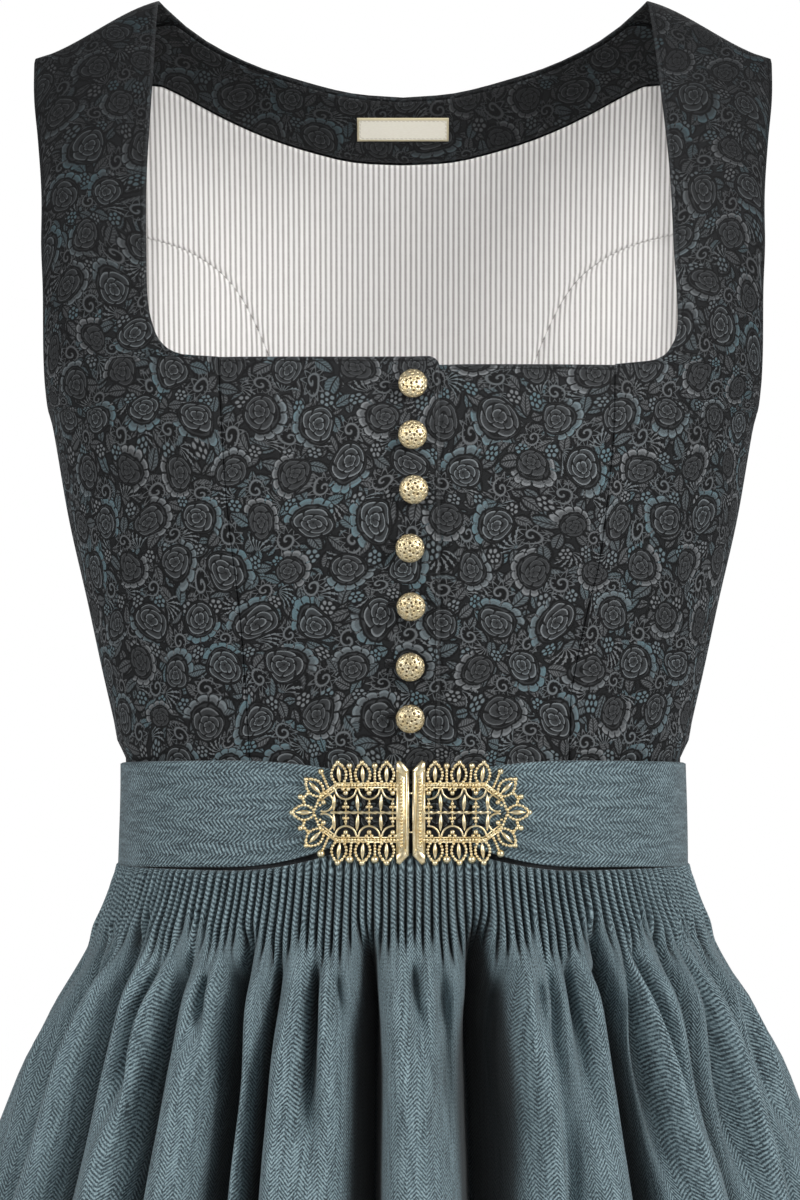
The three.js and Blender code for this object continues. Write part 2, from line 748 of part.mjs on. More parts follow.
// The apron, gathered all along its band and open at the back.
const APRON_INSIDE = 2;
gathered("apron_skirt", herringbone, {
  angles: apronAngles,
  ring: false,
  inner: APRON_INSIDE,
  plainOuter: APRON_INSIDE + 1.1,
  pleatHigh: 1.9,
  rest: 0.6,
  corners: pleatCorners(-APRON_REACH, APRON_REACH, APRON_PLEATS),
  gatherRows: [
    { z: BAND_TOP - BAND_HEIGHT - SEAM, high: 1 },
    { z: -80, high: 1 },
    { z: -104, high: 0.35 },
  ],
  foldRows: [...foldRows, -APRON_HEM_DROP],
});

// The apron's band runs round the back and ends behind the clasp, where it is drawn together.
const BAND_STEPS = 46;
const BAND_FLARE = 0.8;
const BAND_PINCH = { over: 14, top: 4, bottom: 7 };
const bandReach = (() => {
  const section = bodiceSection(0);
  return Math.asin((BAND_END / section.width) ** (section.square / 2)) / DEG;
})();
{
  const wall = new Wall();
  const heights = [0, 0.07, 0.93, 1];
  const rounded = [0.7, 0, 0, 0.7];
  const place = (phi, share, out) => {
    const point = ringPoint(phi, -WAIST_DROP, out + BAND_FLARE * share);
    const nearEnd = 1 - blend((Math.abs(point.x) - BAND_END) / BAND_PINCH.over);
    const pinch = point.y < 0 ? nearEnd : 0;
    const top = BAND_TOP - BAND_TILT * point.y - pinch * BAND_PINCH.top;
    const bottom = BAND_TOP - BAND_TILT * point.y - BAND_HEIGHT + pinch * BAND_PINCH.bottom;
    point.z = mix(top, bottom, share);
    return point;
  };
  const rows = (out, roundSide) =>
    heights.map((share, i) =>
      wall.row(
        Array.from({ length: BAND_STEPS + 1 }, (_, j) => {
          const phi = mix(bandReach, 360 - bandReach, j / BAND_STEPS);
          return { at: j, point: place(phi, share, out - roundSide * rounded[i]) };
        }),
      ),
    );
  wall.close(rows(BAND_INSIDE + BAND_WALL, 1), rows(BAND_INSIDE, 0), false);
  add("apron_band", wall.geometry(), herringbone);
}

// The clasp: two openwork halves, made as plates, each turned a little to follow the waist.
function plate(outline, holes = []) {
  const shape = new THREE.Shape(outline.map(([u, v]) => new THREE.Vector2(u, v)));
  for (const hole of holes) shape.holes.push(new THREE.Path(hole.map(([u, v]) => new THREE.Vector2(u, v))));
  return new THREE.ExtrudeGeometry(shape, { depth: CLASP_WALL, bevelEnabled: false, curveSegments: 8 });
}

function toSolid(geometry) {
  const position = geometry.getAttribute("position");
  const seen = new Map();
  const vertices = [];
  const triangles = [];
  for (let i = 0; i < position.count; i += 1) {
    const corner = [position.getX(i), position.getY(i), position.getZ(i)];
    const key = corner.map((value) => value.toFixed(4)).join(" ");
    if (!seen.has(key)) {
      seen.set(key, vertices.length / 3);
      vertices.push(...corner);
    }
    triangles.push(seen.get(key));
  }
  const vertProperties = Float32Array.from(vertices);
  const triVerts = Uint32Array.from(triangles);
  return new wasm.Manifold(new wasm.Mesh({ numProp: 3, vertProperties, triVerts }));
}

function fromSolid(solid) {
  const mesh = solid.getMesh();
  const geometry = new THREE.BufferGeometry();
  geometry.setAttribute("position", new THREE.BufferAttribute(new Float32Array(mesh.vertProperties), 3));
  geometry.setIndex([...mesh.triVerts]);
  geometry.computeVertexNormals();
  return geometry;
}

// A pointed loop standing on a base point and leaning in a direction, in degrees from the clasp's length.
const LANCET = { long: 11.9, half: 5.6, holeHalf: 3.5, holeFrom: 2.3, holeTo: 9.3 };
function lancet(baseU, baseV, lean) {
  const pointed = (from, to, half) => {
    const shares = [0, 0.3, 0.72];
    const widths = [0.6, 1, 0.62];
    const left = shares.map((share, i) => [mix(from, to, share), half * widths[i]]);
    const right = left.map(([u, v]) => [u, -v]).reverse();
    return [...left, [to, 0], ...right];
  };
  const turned = (points) =>
    points.map(([u, v]) => [
      baseU + u * Math.cos(lean * DEG) - v * Math.sin(lean * DEG),
      baseV + u * Math.sin(lean * DEG) + v * Math.cos(lean * DEG),
    ]);
  return plate(
    turned(pointed(-0.8, LANCET.long, LANCET.half)).reverse(),
    [turned(pointed(LANCET.holeFrom, LANCET.holeTo, LANCET.holeHalf))],
  );
}

function claspHalf() {
  const half = CLASP_HEIGHT / 2;
  const bar = { wide: 6.2, chamfer: 2.6 };
  const tip = CLASP_HALF - LANCET.long + 1;
  const border = { top: 14, wire: 2, from: 5, turn: 35, shoulder: 44.5, low: 7, tip };
  const borderPoints = (inset) => [
    [border.from + inset, -border.top + inset],
    [border.turn, -border.top + inset],
    [border.shoulder - inset * 0.7, -border.low + inset * 0.7],
    [border.tip - inset, 0],
    [border.shoulder - inset * 0.7, border.low - inset * 0.7],
    [border.turn, border.top - inset],
    [border.from + inset, border.top - inset],
  ];
  const box = (u0, u1, v0, v1) => [
    [u0, v0],
    [u1, v0],
    [u1, v1],
    [u0, v1],
  ];
  const pieces = [
    plate([
      [0, bar.chamfer - half],
      [bar.chamfer, -half],
      [bar.wide, -half + bar.chamfer],
      [bar.wide, half - bar.chamfer],
      [bar.chamfer, half],
      [0, half - bar.chamfer],
    ]),
    plate(borderPoints(0), [borderPoints(border.wire).reverse()]),
    plate(box(border.from, border.tip - 1, -0.8, 0.8)),
    lancet(border.tip - 1, 0, 0),
  ];
  const cell = { first: 12.2, pitch: 10.6, post: 0.9 };
  for (const side of [-1, 1]) {
    for (let i = 0; i < 3; i += 1) {
      const u = cell.first + i * cell.pitch;
      if (i < 2) {
        const post = u + cell.pitch / 2;
        const [low, high] = [0.5, border.top - 1];
        const [from, to] = side > 0 ? [low, high] : [-high, -low];
        pieces.push(plate(box(post - cell.post, post + cell.post, from, to)));
      }
      pieces.push(lancet(10.9 + i * 11.3, side * (border.top - 0.6), side * (90 - i * 3)));
    }
    pieces.push(lancet(border.shoulder - 2.5, side * (border.low + 1.2), side * 44));
  }
  return pieces.map(toSolid).reduce((sum, piece) => sum.add(piece));
}

const CLASP_GAP = 1.5;
const CLASP_TURN = 4.6; // degrees
const CLASP_STAND = 2.4;
const claspSolid = fromSolid(claspHalf());
for (const side of [-1, 1]) {
  const front = bodiceSection(0).front + BAND_INSIDE + BAND_WALL;
  const holder = new THREE.Group();
  const middle = BAND_TOP + BAND_TILT * front - BAND_HEIGHT / 2 + 0.6;
  holder.position.set((side * CLASP_GAP) / 2, -(front + CLASP_STAND), middle);
  holder.rotation.z = side * CLASP_TURN * DEG;
  dirndl.add(holder);
  const mesh = add(side < 0 ? "clasp_right" : "clasp_left", claspSolid, gold, holder);
  mesh.rotation.set(Math.PI / 2, side < 0 ? Math.PI : 0, 0, "YXZ");
}

export default dirndl;
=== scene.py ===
import math

import bmesh
import bpy
import numpy as np
from mathutils import Matrix, Vector


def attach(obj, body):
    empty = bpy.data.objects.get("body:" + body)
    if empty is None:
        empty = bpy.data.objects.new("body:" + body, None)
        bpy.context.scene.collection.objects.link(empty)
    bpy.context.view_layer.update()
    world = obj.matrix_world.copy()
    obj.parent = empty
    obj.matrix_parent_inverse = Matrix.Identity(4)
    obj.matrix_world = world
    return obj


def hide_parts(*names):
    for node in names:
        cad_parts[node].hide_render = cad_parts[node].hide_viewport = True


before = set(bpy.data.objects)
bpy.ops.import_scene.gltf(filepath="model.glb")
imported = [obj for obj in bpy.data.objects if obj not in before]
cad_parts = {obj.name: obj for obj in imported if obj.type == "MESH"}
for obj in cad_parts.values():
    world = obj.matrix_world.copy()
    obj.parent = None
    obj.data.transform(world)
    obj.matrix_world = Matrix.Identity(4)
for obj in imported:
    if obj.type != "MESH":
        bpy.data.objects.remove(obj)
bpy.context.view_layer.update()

# The studio: a camera on a long lens a little above the waist, a pale floor under the hem, a white
# surround, three soft lights, of which the one on the right is the brightest, and a narrow one
# through the neckline onto the lining. Nothing here belongs to the dress.
MM = 0.001
CAMERA_DISTANCE = 3.0
CAMERA_SIDE = -0.0015
CAMERA_HEIGHT = -0.298
VIEW_HEIGHT = 0.6
SENSOR = 36
camera_data = bpy.data.cameras.new("camera")
camera_data.sensor_fit = "VERTICAL"
camera_data.sensor_height = SENSOR
camera_data.lens = SENSOR * CAMERA_DISTANCE / VIEW_HEIGHT
camera = bpy.data.objects.new("camera", camera_data)
camera.location = (CAMERA_SIDE, -CAMERA_DISTANCE, CAMERA_HEIGHT)
camera.rotation_euler = (math.pi / 2, 0, 0)
bpy.context.collection.objects.link(camera)
bpy.context.scene.camera = camera
bpy.context.scene.view_settings.view_transform = "Standard"

FLOOR_HEIGHT = -1.06
FLOOR_SIZE = 3.2
FLOOR_COLOUR = (0.8, 0.8, 0.79, 1)
bpy.ops.mesh.primitive_plane_add(size=FLOOR_SIZE, location=(0, 0, FLOOR_HEIGHT))
floor = bpy.context.object
floor.name = "studio_floor"
floor_paint = bpy.data.materials.new("pale floor")
floor_paint.use_nodes = True
floor_shader = floor_paint.node_tree.nodes["Principled BSDF"]
floor_shader.inputs["Base Color"].default_value = FLOOR_COLOUR
floor_shader.inputs["Roughness"].default_value = 0.9
floor.data.materials.append(floor_paint)

AMBIENT = 0.27
world = bpy.data.worlds.new("white surround")
world.use_nodes = True
bpy.context.scene.world = world
surround = world.node_tree
surround.nodes.clear()
seen = surround.nodes.new("ShaderNodeBackground")
seen.inputs["Color"].default_value = (1, 1, 1, 1)
shining = surround.nodes.new("ShaderNodeBackground")
shining.inputs["Color"].default_value = (0.93, 0.96, 1, 1)
shining.inputs["Strength"].default_value = AMBIENT
path = surround.nodes.new("ShaderNodeLightPath")
either = surround.nodes.new("ShaderNodeMixShader")
world_out = surround.nodes.new("ShaderNodeOutputWorld")
surround.links.new(path.outputs["Is Camera Ray"], either.inputs[0])
surround.links.new(shining.outputs[0], either.inputs[1])
surround.links.new(seen.outputs[0], either.inputs[2])
surround.links.new(either.outputs[0], world_out.inputs[0])

LIGHT_AIM = (0, 0, -0.32)
LIGHTS = (
    # name, place, size in metres, power
    ("right_softbox", (1.6, -1.75, 0.5), 1.0, 40),
    ("left_softbox", (-1.75, -1.65, 0.2), 1.1, 23),
    ("back_softbox", (0.2, 2.4, 0.9), 1.4, 24),
)


def hang(lamp, place, aim):
    hung = bpy.data.objects.new(lamp.name, lamp)
    hung.location = place
    hung.rotation_euler = (Vector(aim) - Vector(place)).to_track_quat("-Z", "Y").to_euler()
    bpy.context.collection.objects.link(hung)


for light_name, place, size, power in LIGHTS:
    lamp = bpy.data.lights.new(light_name, "AREA")
    lamp.shape = "SQUARE"
    lamp.size = size
    lamp.energy = power
    hang(lamp, place, LIGHT_AIM)

NECK_LIGHT = {
    "place": (0, -2.35, 0.55), "aim": (0.02, 0.08, -0.128), "power": 262, "cone": 6.1, "blend": 0.8,
    "soft": 0.16,
}
lamp = bpy.data.lights.new("neck_light", "SPOT")
lamp.energy = NECK_LIGHT["power"]
lamp.spot_size = math.radians(NECK_LIGHT["cone"])
lamp.spot_blend = NECK_LIGHT["blend"]
lamp.shadow_soft_size = NECK_LIGHT["soft"]
hang(lamp, NECK_LIGHT["place"], NECK_LIGHT["aim"])

# The right front of the bodice, charcoal rose brocade on a thin backing, with a folded edge that
# laps over the left front and carries the buttonholes. It is cut from the waist up to the square
# neckline, and its outer side is sewn to the side front.
SHOULDER_HEIGHT = 378
BUST_HEIGHT = 165
CLOTH = 1.6
SEAM = 0.3
ROUND_EDGE = 0.5
BODICE_LOW = -30
BODICE_SECTIONS = (
    # height above the waist, half width, depth in front and behind, squareness
    (-30, 137, 96, 88, 2.3),
    (3, 137, 96, 88, 2.3),
    (8, 140.4, 97.5, 89, 2.3),
    (20, 142.8, 99.5, 90, 2.3),
    (45, 148.5, 104, 93, 2.35),
    (80, 156, 110, 97, 2.4),
    (120, 165, 116, 103, 2.5),
    (165, 172.8, 118, 107, 2.6),
    (172, 174.6, 118, 107, 2.62),
    (180, 177.5, 118, 107, 2.65),
    (190, 180.7, 118, 107, 2.68),
    (205, 184, 118, 107, 2.7),
    (230, 187, 118, 107, 2.8),
    (260, 190, 118, 107, 2.8),
    (378, 189.5, 118, 107, 2.8),
)
FRONT_FALL = 1.39
BACK_FALL = 2.6
CREST_ROUND = 0.62
CREST_DEPTH = 0.2
CREST_FALL = 29
CREST_FALL_FROM = 250
CREST_CLOSE = 1.5
ANGLE_STEP = 1e-3
SHOULDER_INNER = 122
SHOULDER_OUTER = 184
FULLNESS = {"depth": 6, "x": 78, "wide": 46, "z": 148, "high": 55}


def blend(value):
    held = np.clip(value, 0, 1)
    return held * held * (3 - 2 * held)


def mix(low, high, share):
    return low + (high - low) * share


def along(table, place, column=1):
    """Reads one column of a table at a place along its first, on a smooth curve through the rows."""
    rows = np.array(table, float)
    keys, values = rows[:, 0], rows[:, column]
    ends = np.arange(len(keys))
    before, after = np.maximum(ends - 1, 0), np.minimum(ends + 1, len(keys) - 1)
    slope = (values[after] - values[before]) / (keys[after] - keys[before])
    place = np.clip(place, keys[0], keys[-1])
    row = np.clip(np.searchsorted(keys, place, side="right") - 1, 0, len(keys) - 2)
    span = keys[row + 1] - keys[row]
    t = (place - keys[row]) / span
    curve = mix(values[row], values[row + 1], 3 * t**2 - 2 * t**3)
    return curve + span * (t * (1 - t) ** 2 * slope[row] - t**2 * (1 - t) * slope[row + 1])


def section_place(width, front, back, square, theta):
    """A place on a rounded section: theta is 0 at the wearer's left and -90 degrees in front."""
    across, deep = np.cos(theta), np.sin(theta)
    power = 2 / square
    depth = np.where(deep < 0, front, back)
    return (
        width * np.sign(across) * np.abs(across) ** power,
        depth * np.sign(deep) * np.abs(deep) ** power,
    )


def crest_share(z, fall):
    up = np.clip((z - BUST_HEIGHT) / (SHOULDER_HEIGHT - BUST_HEIGHT), 0, 1)
    return (1 - up**fall) ** CREST_ROUND


def bodice_face(theta, z):
    """The bodice's inner face."""
    width, front, back, square = (along(BODICE_SECTIONS, z, i) for i in (1, 2, 3, 4))
    front = np.maximum(front * crest_share(z, FRONT_FALL), CREST_DEPTH)
    back = np.maximum(back * crest_share(z, BACK_FALL), CREST_DEPTH)
    x, y = section_place(width, front, back, square, theta)
    across = (np.abs(x) - FULLNESS["x"]) / FULLNESS["wide"]
    up = (z - FULLNESS["z"]) / FULLNESS["high"]
    full = FULLNESS["depth"] * np.exp(-(across**2) - up**2) * np.sqrt(np.abs(np.sin(theta)))
    y = np.where(y < 0, y - full, y)
    out = np.clip((np.abs(x) - SHOULDER_INNER) / (SHOULDER_OUTER - SHOULDER_INNER), 0, 1)
    high = blend((z - CREST_FALL_FROM) / (SHOULDER_HEIGHT - CREST_FALL_FROM))
    return np.stack([x, y, z - CREST_FALL * (out + blend(out)) * high / 2], axis=-1)


def unit(vectors):
    return vectors / np.maximum(np.linalg.norm(vectors, axis=-1, keepdims=True), 1e-12)


def bodice_place(theta, z, out):
    """A place on the bodice, moved out from its inner face."""
    step = ANGLE_STEP
    theta, z, out = np.broadcast_arrays(theta, np.asarray(z, float), np.asarray(out, float))
    face = bodice_face(theta, z)
    round_body = bodice_face(theta + step, z) - bodice_face(theta - step, z)
    low = np.minimum(z, SHOULDER_HEIGHT - 2 * step)
    upward = bodice_face(theta, low + step) - bodice_face(theta, low - step)
    normal = unit(np.cross(round_body, upward))
    crest = blend((z - SHOULDER_HEIGHT + CREST_CLOSE) / CREST_CLOSE)[..., None]
    normal = unit(normal * (1 - crest) + np.array([0, 0, 1.0]) * crest)
    return face + normal * out[..., None]


def angle_at(x, z, side):
    """The angle at which the front (side -1) or back (side 1) of a section is x from the middle."""
    width, square = along(BODICE_SECTIONS, z, 1), along(BODICE_SECTIONS, z, 4)
    share = np.sign(x) * np.minimum(1, (np.abs(x) / width) ** (square / 2))
    return side * np.arccos(share)


def shell(name, outer, inner, lengths, **marks):
    """A closed wall of cloth between two grids of points, with its edges rounded over. Marks are
    values given to its points for its finish."""
    rows, columns = outer.shape[:2]
    index = np.arange(rows * columns).reshape(rows, columns)
    rim = np.concatenate([index[0, :-1], index[:-1, -1], index[-1, :0:-1], index[:0:-1, 0]])
    inside = index.copy()
    inside[0], inside[-1] = index[1], index[-2]
    inside[:, 0], inside[:, -1] = inside[:, 1], inside[:, -2]
    flat_outer, flat_inner = outer.reshape(-1, 3).copy(), inner.reshape(-1, 3).copy()
    middle = (flat_outer[rim] + flat_inner[rim]) / 2
    towards = unit(flat_outer[rim] - flat_outer[inside.ravel()[rim]])
    flat_outer[rim] -= towards * ROUND_EDGE
    flat_inner[rim] -= towards * ROUND_EDGE
    points = np.concatenate([flat_outer, flat_inner, middle])
    count = rows * columns
    quads = np.stack([index[:-1, :-1], index[1:, :-1], index[1:, 1:], index[:-1, 1:]], axis=-1)
    quads = quads.reshape(-1, 4)
    following = np.roll(rim, -1)
    mid = 2 * count + np.arange(len(rim))
    next_mid = np.roll(mid, -1)
    faces = np.concatenate([
        quads,
        quads[:, ::-1] + count,
        np.stack([rim, following, next_mid, mid], axis=-1),
        np.stack([mid, next_mid, following + count, rim + count], axis=-1),
    ])
    corners = points[faces] - points.mean(axis=0)
    swept = sum(
        (corners[:, 0] * np.cross(corners[:, second], corners[:, second + 1])).sum() for second in (1, 2)
    )
    if swept < 0:
        faces = faces[:, ::-1]
    mesh = bpy.data.meshes.new(name)
    placed = (points - np.array([0, 0, SHOULDER_HEIGHT])) * MM
    mesh.from_pydata(placed.tolist(), [], faces.tolist())
    mesh.polygons.foreach_set("use_smooth", [True] * len(faces))
    inner_face = np.zeros(len(faces), int)
    inner_face[len(quads):2 * len(quads)] = 1
    mesh.polygons.foreach_set("material_index", inner_face)
    flat = lengths.reshape(-1, 2)
    flat = np.concatenate([flat, flat, flat[rim]])
    corner_vertex = np.empty(len(mesh.loops), int)
    mesh.loops.foreach_get("vertex_index", corner_vertex)
    flat = flat[corner_vertex].astype(np.float32)
    mesh.uv_layers.new(name="cloth").uv.foreach_set("vector", flat.ravel())
    for attribute, values in marks.items():
        given = values.ravel()
        given = np.concatenate([given, given, given[rim]]).astype(np.float32)
        mesh.attributes.new(attribute, "FLOAT", "POINT").data.foreach_set("value", given)
    piece = bpy.data.objects.new(name, mesh)
    bpy.context.collection.objects.link(piece)
    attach(piece, "root")
    return piece


def panel(name, theta, z, inner, outer, edge=None):
    """A panel of the bodice from a grid of angles and heights, and its offsets from the inner face. Its
    flat cloth is measured round from the middle of the front or back, and up."""
    outside = bodice_place(theta, z, outer)
    inside = bodice_place(theta, z, inner)
    lead = np.linspace(math.copysign(math.pi / 2, theta.mean()), theta, 30)
    leads = bodice_face(lead, np.broadcast_to(z, lead.shape))
    across = np.linalg.norm(np.diff(leads, axis=0), axis=-1).sum(axis=0)
    across = across * np.sign(leads[-1, ..., 0] + 1e-9)
    rise = np.hypot(*np.moveaxis(np.diff(outside, axis=0), -1, 0)[1:])
    up = np.concatenate([np.cumsum(rise[::-1], axis=0)[::-1], np.zeros((1, theta.shape[1]))])
    marks = {} if edge is None else {"edge": edge}
    return shell(name, outside, inside, np.stack([across, up + z[-1]], axis=-1), **marks)


def rows_between(heights, columns, from_angle, to_angle):
    """A grid between two edges, given as functions of the height, from the top down."""
    z = np.sort(np.asarray(heights, float))[::-1][:, None] * np.ones(columns + 1)
    share = np.linspace(0, 1, columns + 1)
    return mix(from_angle(z[:, :1]), to_angle(z[:, :1]), share), z


# The brocade's weave: a charcoal ground with roses, scrolls, leaf sprays and small flowers in grey
# satin and a dull blue, each drawn round with a dark line.
INK = (0.0022, 0.0024, 0.0027, 1)
GROUND = (0.0085, 0.0092, 0.01, 1)
SATIN = (0.058, 0.061, 0.064, 1)
SATIN_LIGHT = (0.185, 0.195, 0.202, 1)
DULL_BLUE = (0.1, 0.165, 0.188, 1)
DRIFT = 17


class Value:
    """A number or vector that varies over a surface; arithmetic on it adds Math nodes."""

    def __init__(self, finish, socket):
        self.finish, self.socket = finish, socket

    def math(self, operation, *others, clamp=False):
        inputs = dict(enumerate((self, *others)))
        return self.finish.node("ShaderNodeMath", {"operation": operation, "use_clamp": clamp}, inputs)

    def output(self, name):
        return Value(self.finish, self.socket.node.outputs[name])

    def __add__(self, other):
        return self.math("ADD", other)

    def __sub__(self, other):
        return self.math("SUBTRACT", other)

    def __rsub__(self, other):
        return self.finish.node("ShaderNodeMath", {"operation": "SUBTRACT"}, {0: other, 1: self})

    def __mul__(self, other):
        return self.math("MULTIPLY", other)

    def __truediv__(self, other):
        return self.math("DIVIDE", other)

    def __abs__(self):
        return self.math("ABSOLUTE")

    __radd__ = __add__
    __rmul__ = __mul__

    def fract(self):
        return self.math("FRACT")

    def floor(self):
        return self.math("FLOOR")

    def cosine(self):
        return self.math("COSINE")

    def sine(self):
        return self.math("SINE")

    def waves(self, pitch):
        return (self * (math.tau / pitch)).sine()

    def least(self, other):
        return self.math("MINIMUM", other)

    def most(self, other):
        return self.math("MAXIMUM", other)

    def times_plus(self, factor, more):
        return self.math("MULTIPLY_ADD", factor, more)

    def above(self, edge, soft):
        """1 where the value is over an edge, 0 where it is under, with a soft step between."""
        return self.math("MULTIPLY_ADD", 1 / soft, 0.5 - edge / soft, clamp=True)

    def below(self, edge, soft):
        return self.math("MULTIPLY_ADD", -1 / soft, 0.5 + edge / soft, clamp=True)

    def stitches(self, pitch, share):
        """1 on the stitches of a row, 0 between them; share is half a stitch's length in pitches."""
        return abs((self / pitch).fract() - 0.5).below(share, 0.1)


class Finish:
    """A material and its nodes."""

    def __init__(self, name):
        self.material = bpy.data.materials.new(name)
        self.material.use_nodes = True
        self.tree = self.material.node_tree
        self.tree.nodes.clear()

    def node(self, kind, settings=None, inputs=None, output=0):
        made = self.tree.nodes.new(kind)
        for key, value in (settings or {}).items():
            setattr(made, key, value)
        for key, value in (inputs or {}).items():
            if isinstance(value, Value):
                self.tree.links.new(value.socket, made.inputs[key])
            else:
                made.inputs[key].default_value = value
        return Value(self, made.outputs[output]) if len(made.outputs) else None

    def mix(self, share, low, high):
        """A colour between two colours."""
        return self.node("ShaderNodeMix", {"data_type": "RGBA"}, {0: share, 6: low, 7: high}, 2)

    def vector(self, operation, *vectors):
        return self.node("ShaderNodeVectorMath", {"operation": operation}, dict(enumerate(vectors)))

    def cloth_place(self):
        """The place on the flat cloth, in millimetres."""
        return self.node("ShaderNodeUVMap", {"uv_map": "cloth"})

    def attribute(self, name):
        return self.node("ShaderNodeAttribute", {"attribute_name": name}, output="Fac")

    def cloth_noise(self, across, up, detail=1.0, roughness=0.5):
        """Noise on the flat cloth, with so many cells a millimetre across and up."""
        stretched = self.vector("MULTIPLY", self.cloth_place(), (across, up, 0))
        return self.noise(stretched, 1.0, detail, roughness)

    def noise(self, vector, scale, detail=2.0, roughness=0.5):
        inputs = {"Vector": vector, "Scale": scale, "Detail": detail, "Roughness": roughness}
        return self.node("ShaderNodeTexNoise", None, inputs)

    def split(self, vector):
        parts = self.node("ShaderNodeSeparateXYZ", None, {0: vector})
        return parts, parts.output("Y")

    def finish(self, **surface):
        """Ends the material with its surface; the names of the sockets are written with _ for a space."""
        inputs = {key.replace("_", " "): value for key, value in surface.items()}
        shader = self.node("ShaderNodeBsdfPrincipled", None, inputs)
        self.node("ShaderNodeOutputMaterial", None, {"Surface": shader})
        return self.material

    def bump(self, height, distance, strength=1.0):
        inputs = {"Height": height, "Distance": distance, "Strength": strength}
        return self.node("ShaderNodeBump", None, inputs)


class Jacquard:
    """Collects the figures of the brocade from the top down: how light each point is woven, how blue,
    and what the figures above have taken."""

    def __init__(self, finish, across, up):
        self.finish, self.across, self.up = finish, across, up
        self.light, self.blue, self.taken = 0.0, 0.0, 0.0

    def scatter(self, wide, high, shift, sway, seed):
        """Places in the cells of a staggered layout, each turned and moved by its own amount."""
        row = self.up / high + shift[1]
        row_number = row.floor()
        column = (self.across / wide + shift[0]) + row_number * 0.5
        column_number = column.floor()
        chance = ((column_number * 12.9898 + row_number * 78.233 + seed).sine() * 4375.85).fract()
        other = (chance * 57.31).fract()
        across = (column - column_number - 0.5).times_plus(wide, (chance - 0.5) * sway)
        up = (row - row_number - 0.5).times_plus(high, (other - 0.5) * sway)
        turn = other * math.tau
        cosine, sine = turn.cosine(), turn.sine()
        return across * cosine + up * sine, up * cosine - across * sine, chance

    def polar(self, across, up):
        return across.times_plus(across, up * up).math("SQRT"), up.math("ARCTAN2", across)

    def weave(self, light, taken, blue=0.0):
        if isinstance(self.taken, Value):
            light = light * (1 - self.taken)
            self.blue = self.blue.most(light * blue)
            self.light = self.light.most(light)
            self.taken = self.taken.most(taken)
        else:
            self.light, self.blue, self.taken = light, light * blue, taken

    def roses(self, wide, high, shift, sway, seed, radius):
        across, up, chance = self.scatter(wide, high, shift, sway, seed)
        rings, petals, frills = 3.3, 4, 13
        r, angle = self.polar(across, up)
        share = r / (radius * (0.86 + 0.26 * chance))
        lean = (up / radius) * (1 - share)
        spread = share - lean * 0.62
        ring = (spread * rings).floor()
        leaf = angle.times_plus(petals / math.tau, ring * 0.37 + share * 0.6 + chance).fract() - 0.5
        curl = leaf * leaf
        coil = (spread * rings + curl * 1.1).fract()
        petal = coil.above(0.2, 0.16) * curl.below(0.2, 0.05)
        tone = 0.26 + 0.24 * coil + 0.4 * coil.above(0.8, 0.2) * (0.3 + chance)
        scallop = (angle * (frills / math.tau)).fract() - 0.5
        rim = share + scallop * scallop * 0.5
        half = up / r
        reach = half.below(0.1 - 0.7 * chance, 0.1) * (scallop * scallop).below(0.17, 0.05)
        band = rim.above(1.12, 0.07) * rim.below(1.46, 0.06) * reach
        self.weave(petal * tone * share.below(0.98, 0.06), share.below(1.08, 0.05), chance * 0.2)
        fill = 0.72 + 0.4 * rim.above(1.34, 0.1)
        self.weave(band * fill, share.below(1.5, 0.05) * reach, chance.above(0.5, 0.4))

    def small_flowers(self, wide, high, shift, sway, seed, size):
        across, up, chance = self.scatter(wide, high, shift, sway, seed)
        r, angle = self.polar(across, up)
        petals = 6
        petal = ((angle * (petals / math.tau)).fract() - 0.5) * (size * 1.05)
        out = r - size
        away = (out * out + petal * petal).math("SQRT")
        dots = away.below(size * 0.38, 0.5).most(r.below(size * 0.3, 0.4))
        self.weave(dots * 0.92, r.below(size * 1.6, 0.4), chance.above(0.5, 0.5))

    def scrolls(self, wide, high, shift, sway, seed, radius):
        across, up, chance = self.scatter(wide, high, shift, sway, seed)
        r, angle = self.polar(across, up)
        pitch, leaves = 3.4, 9
        coil = ((r + angle * (pitch / math.tau)) / pitch).fract()
        line = abs(coil - 0.5).below(0.17, 0.14)
        leaf = ((angle * (leaves / math.tau)).fract() - 0.5) * r
        fringe = abs(r - radius - 1.5 + leaf * leaf * 1.1).below(0.75, 0.4)
        inside = r.below(radius, 0.5)
        self.weave((line * inside).most(fringe * 0.9) * 0.78, r.below(radius + 0.6, 0.5), chance * 0.2)

    def leaves(self, wide, high, shift, sway, seed, long, broad):
        across, up, chance = self.scatter(wide, high, shift, sway, seed)
        beside = abs(up)
        along_leaf = across / long
        teeth = ((across - beside * 0.8) * 0.7).fract()
        vein = abs(teeth - 0.5)
        swell = 1 - along_leaf * along_leaf - beside / broad
        flesh = (swell - vein * 0.35).above(0.02, 0.1) * beside.above(0.28, 0.3)
        self.weave(flesh * (0.42 + 0.75 * vein), swell.above(-0.32, 0.16), chance.above(0.62, 0.3))

    def sprays(self, wide, high, shift, sway, seed, reach):
        across, up, chance = self.scatter(wide, high, shift, sway, seed)
        r, angle = self.polar(across, up + 0.3)
        bent = angle + r * 0.05
        stem = abs((bent * 2.6).fract() - 0.5) * r
        teeth = (r * 0.52).fract() * 1.3
        thick = (r - reach * 0.4).most(0.0).least(1.0) * teeth + 0.42
        line = (stem * 0.38 - thick * 0.42).below(0.0, 0.22)
        fan = abs(bent).below(1.0, 0.08) * r.below(reach, 0.8) * r.above(1.0, 0.5)
        self.weave(line * fan * 0.85, fan, chance * 0.35)


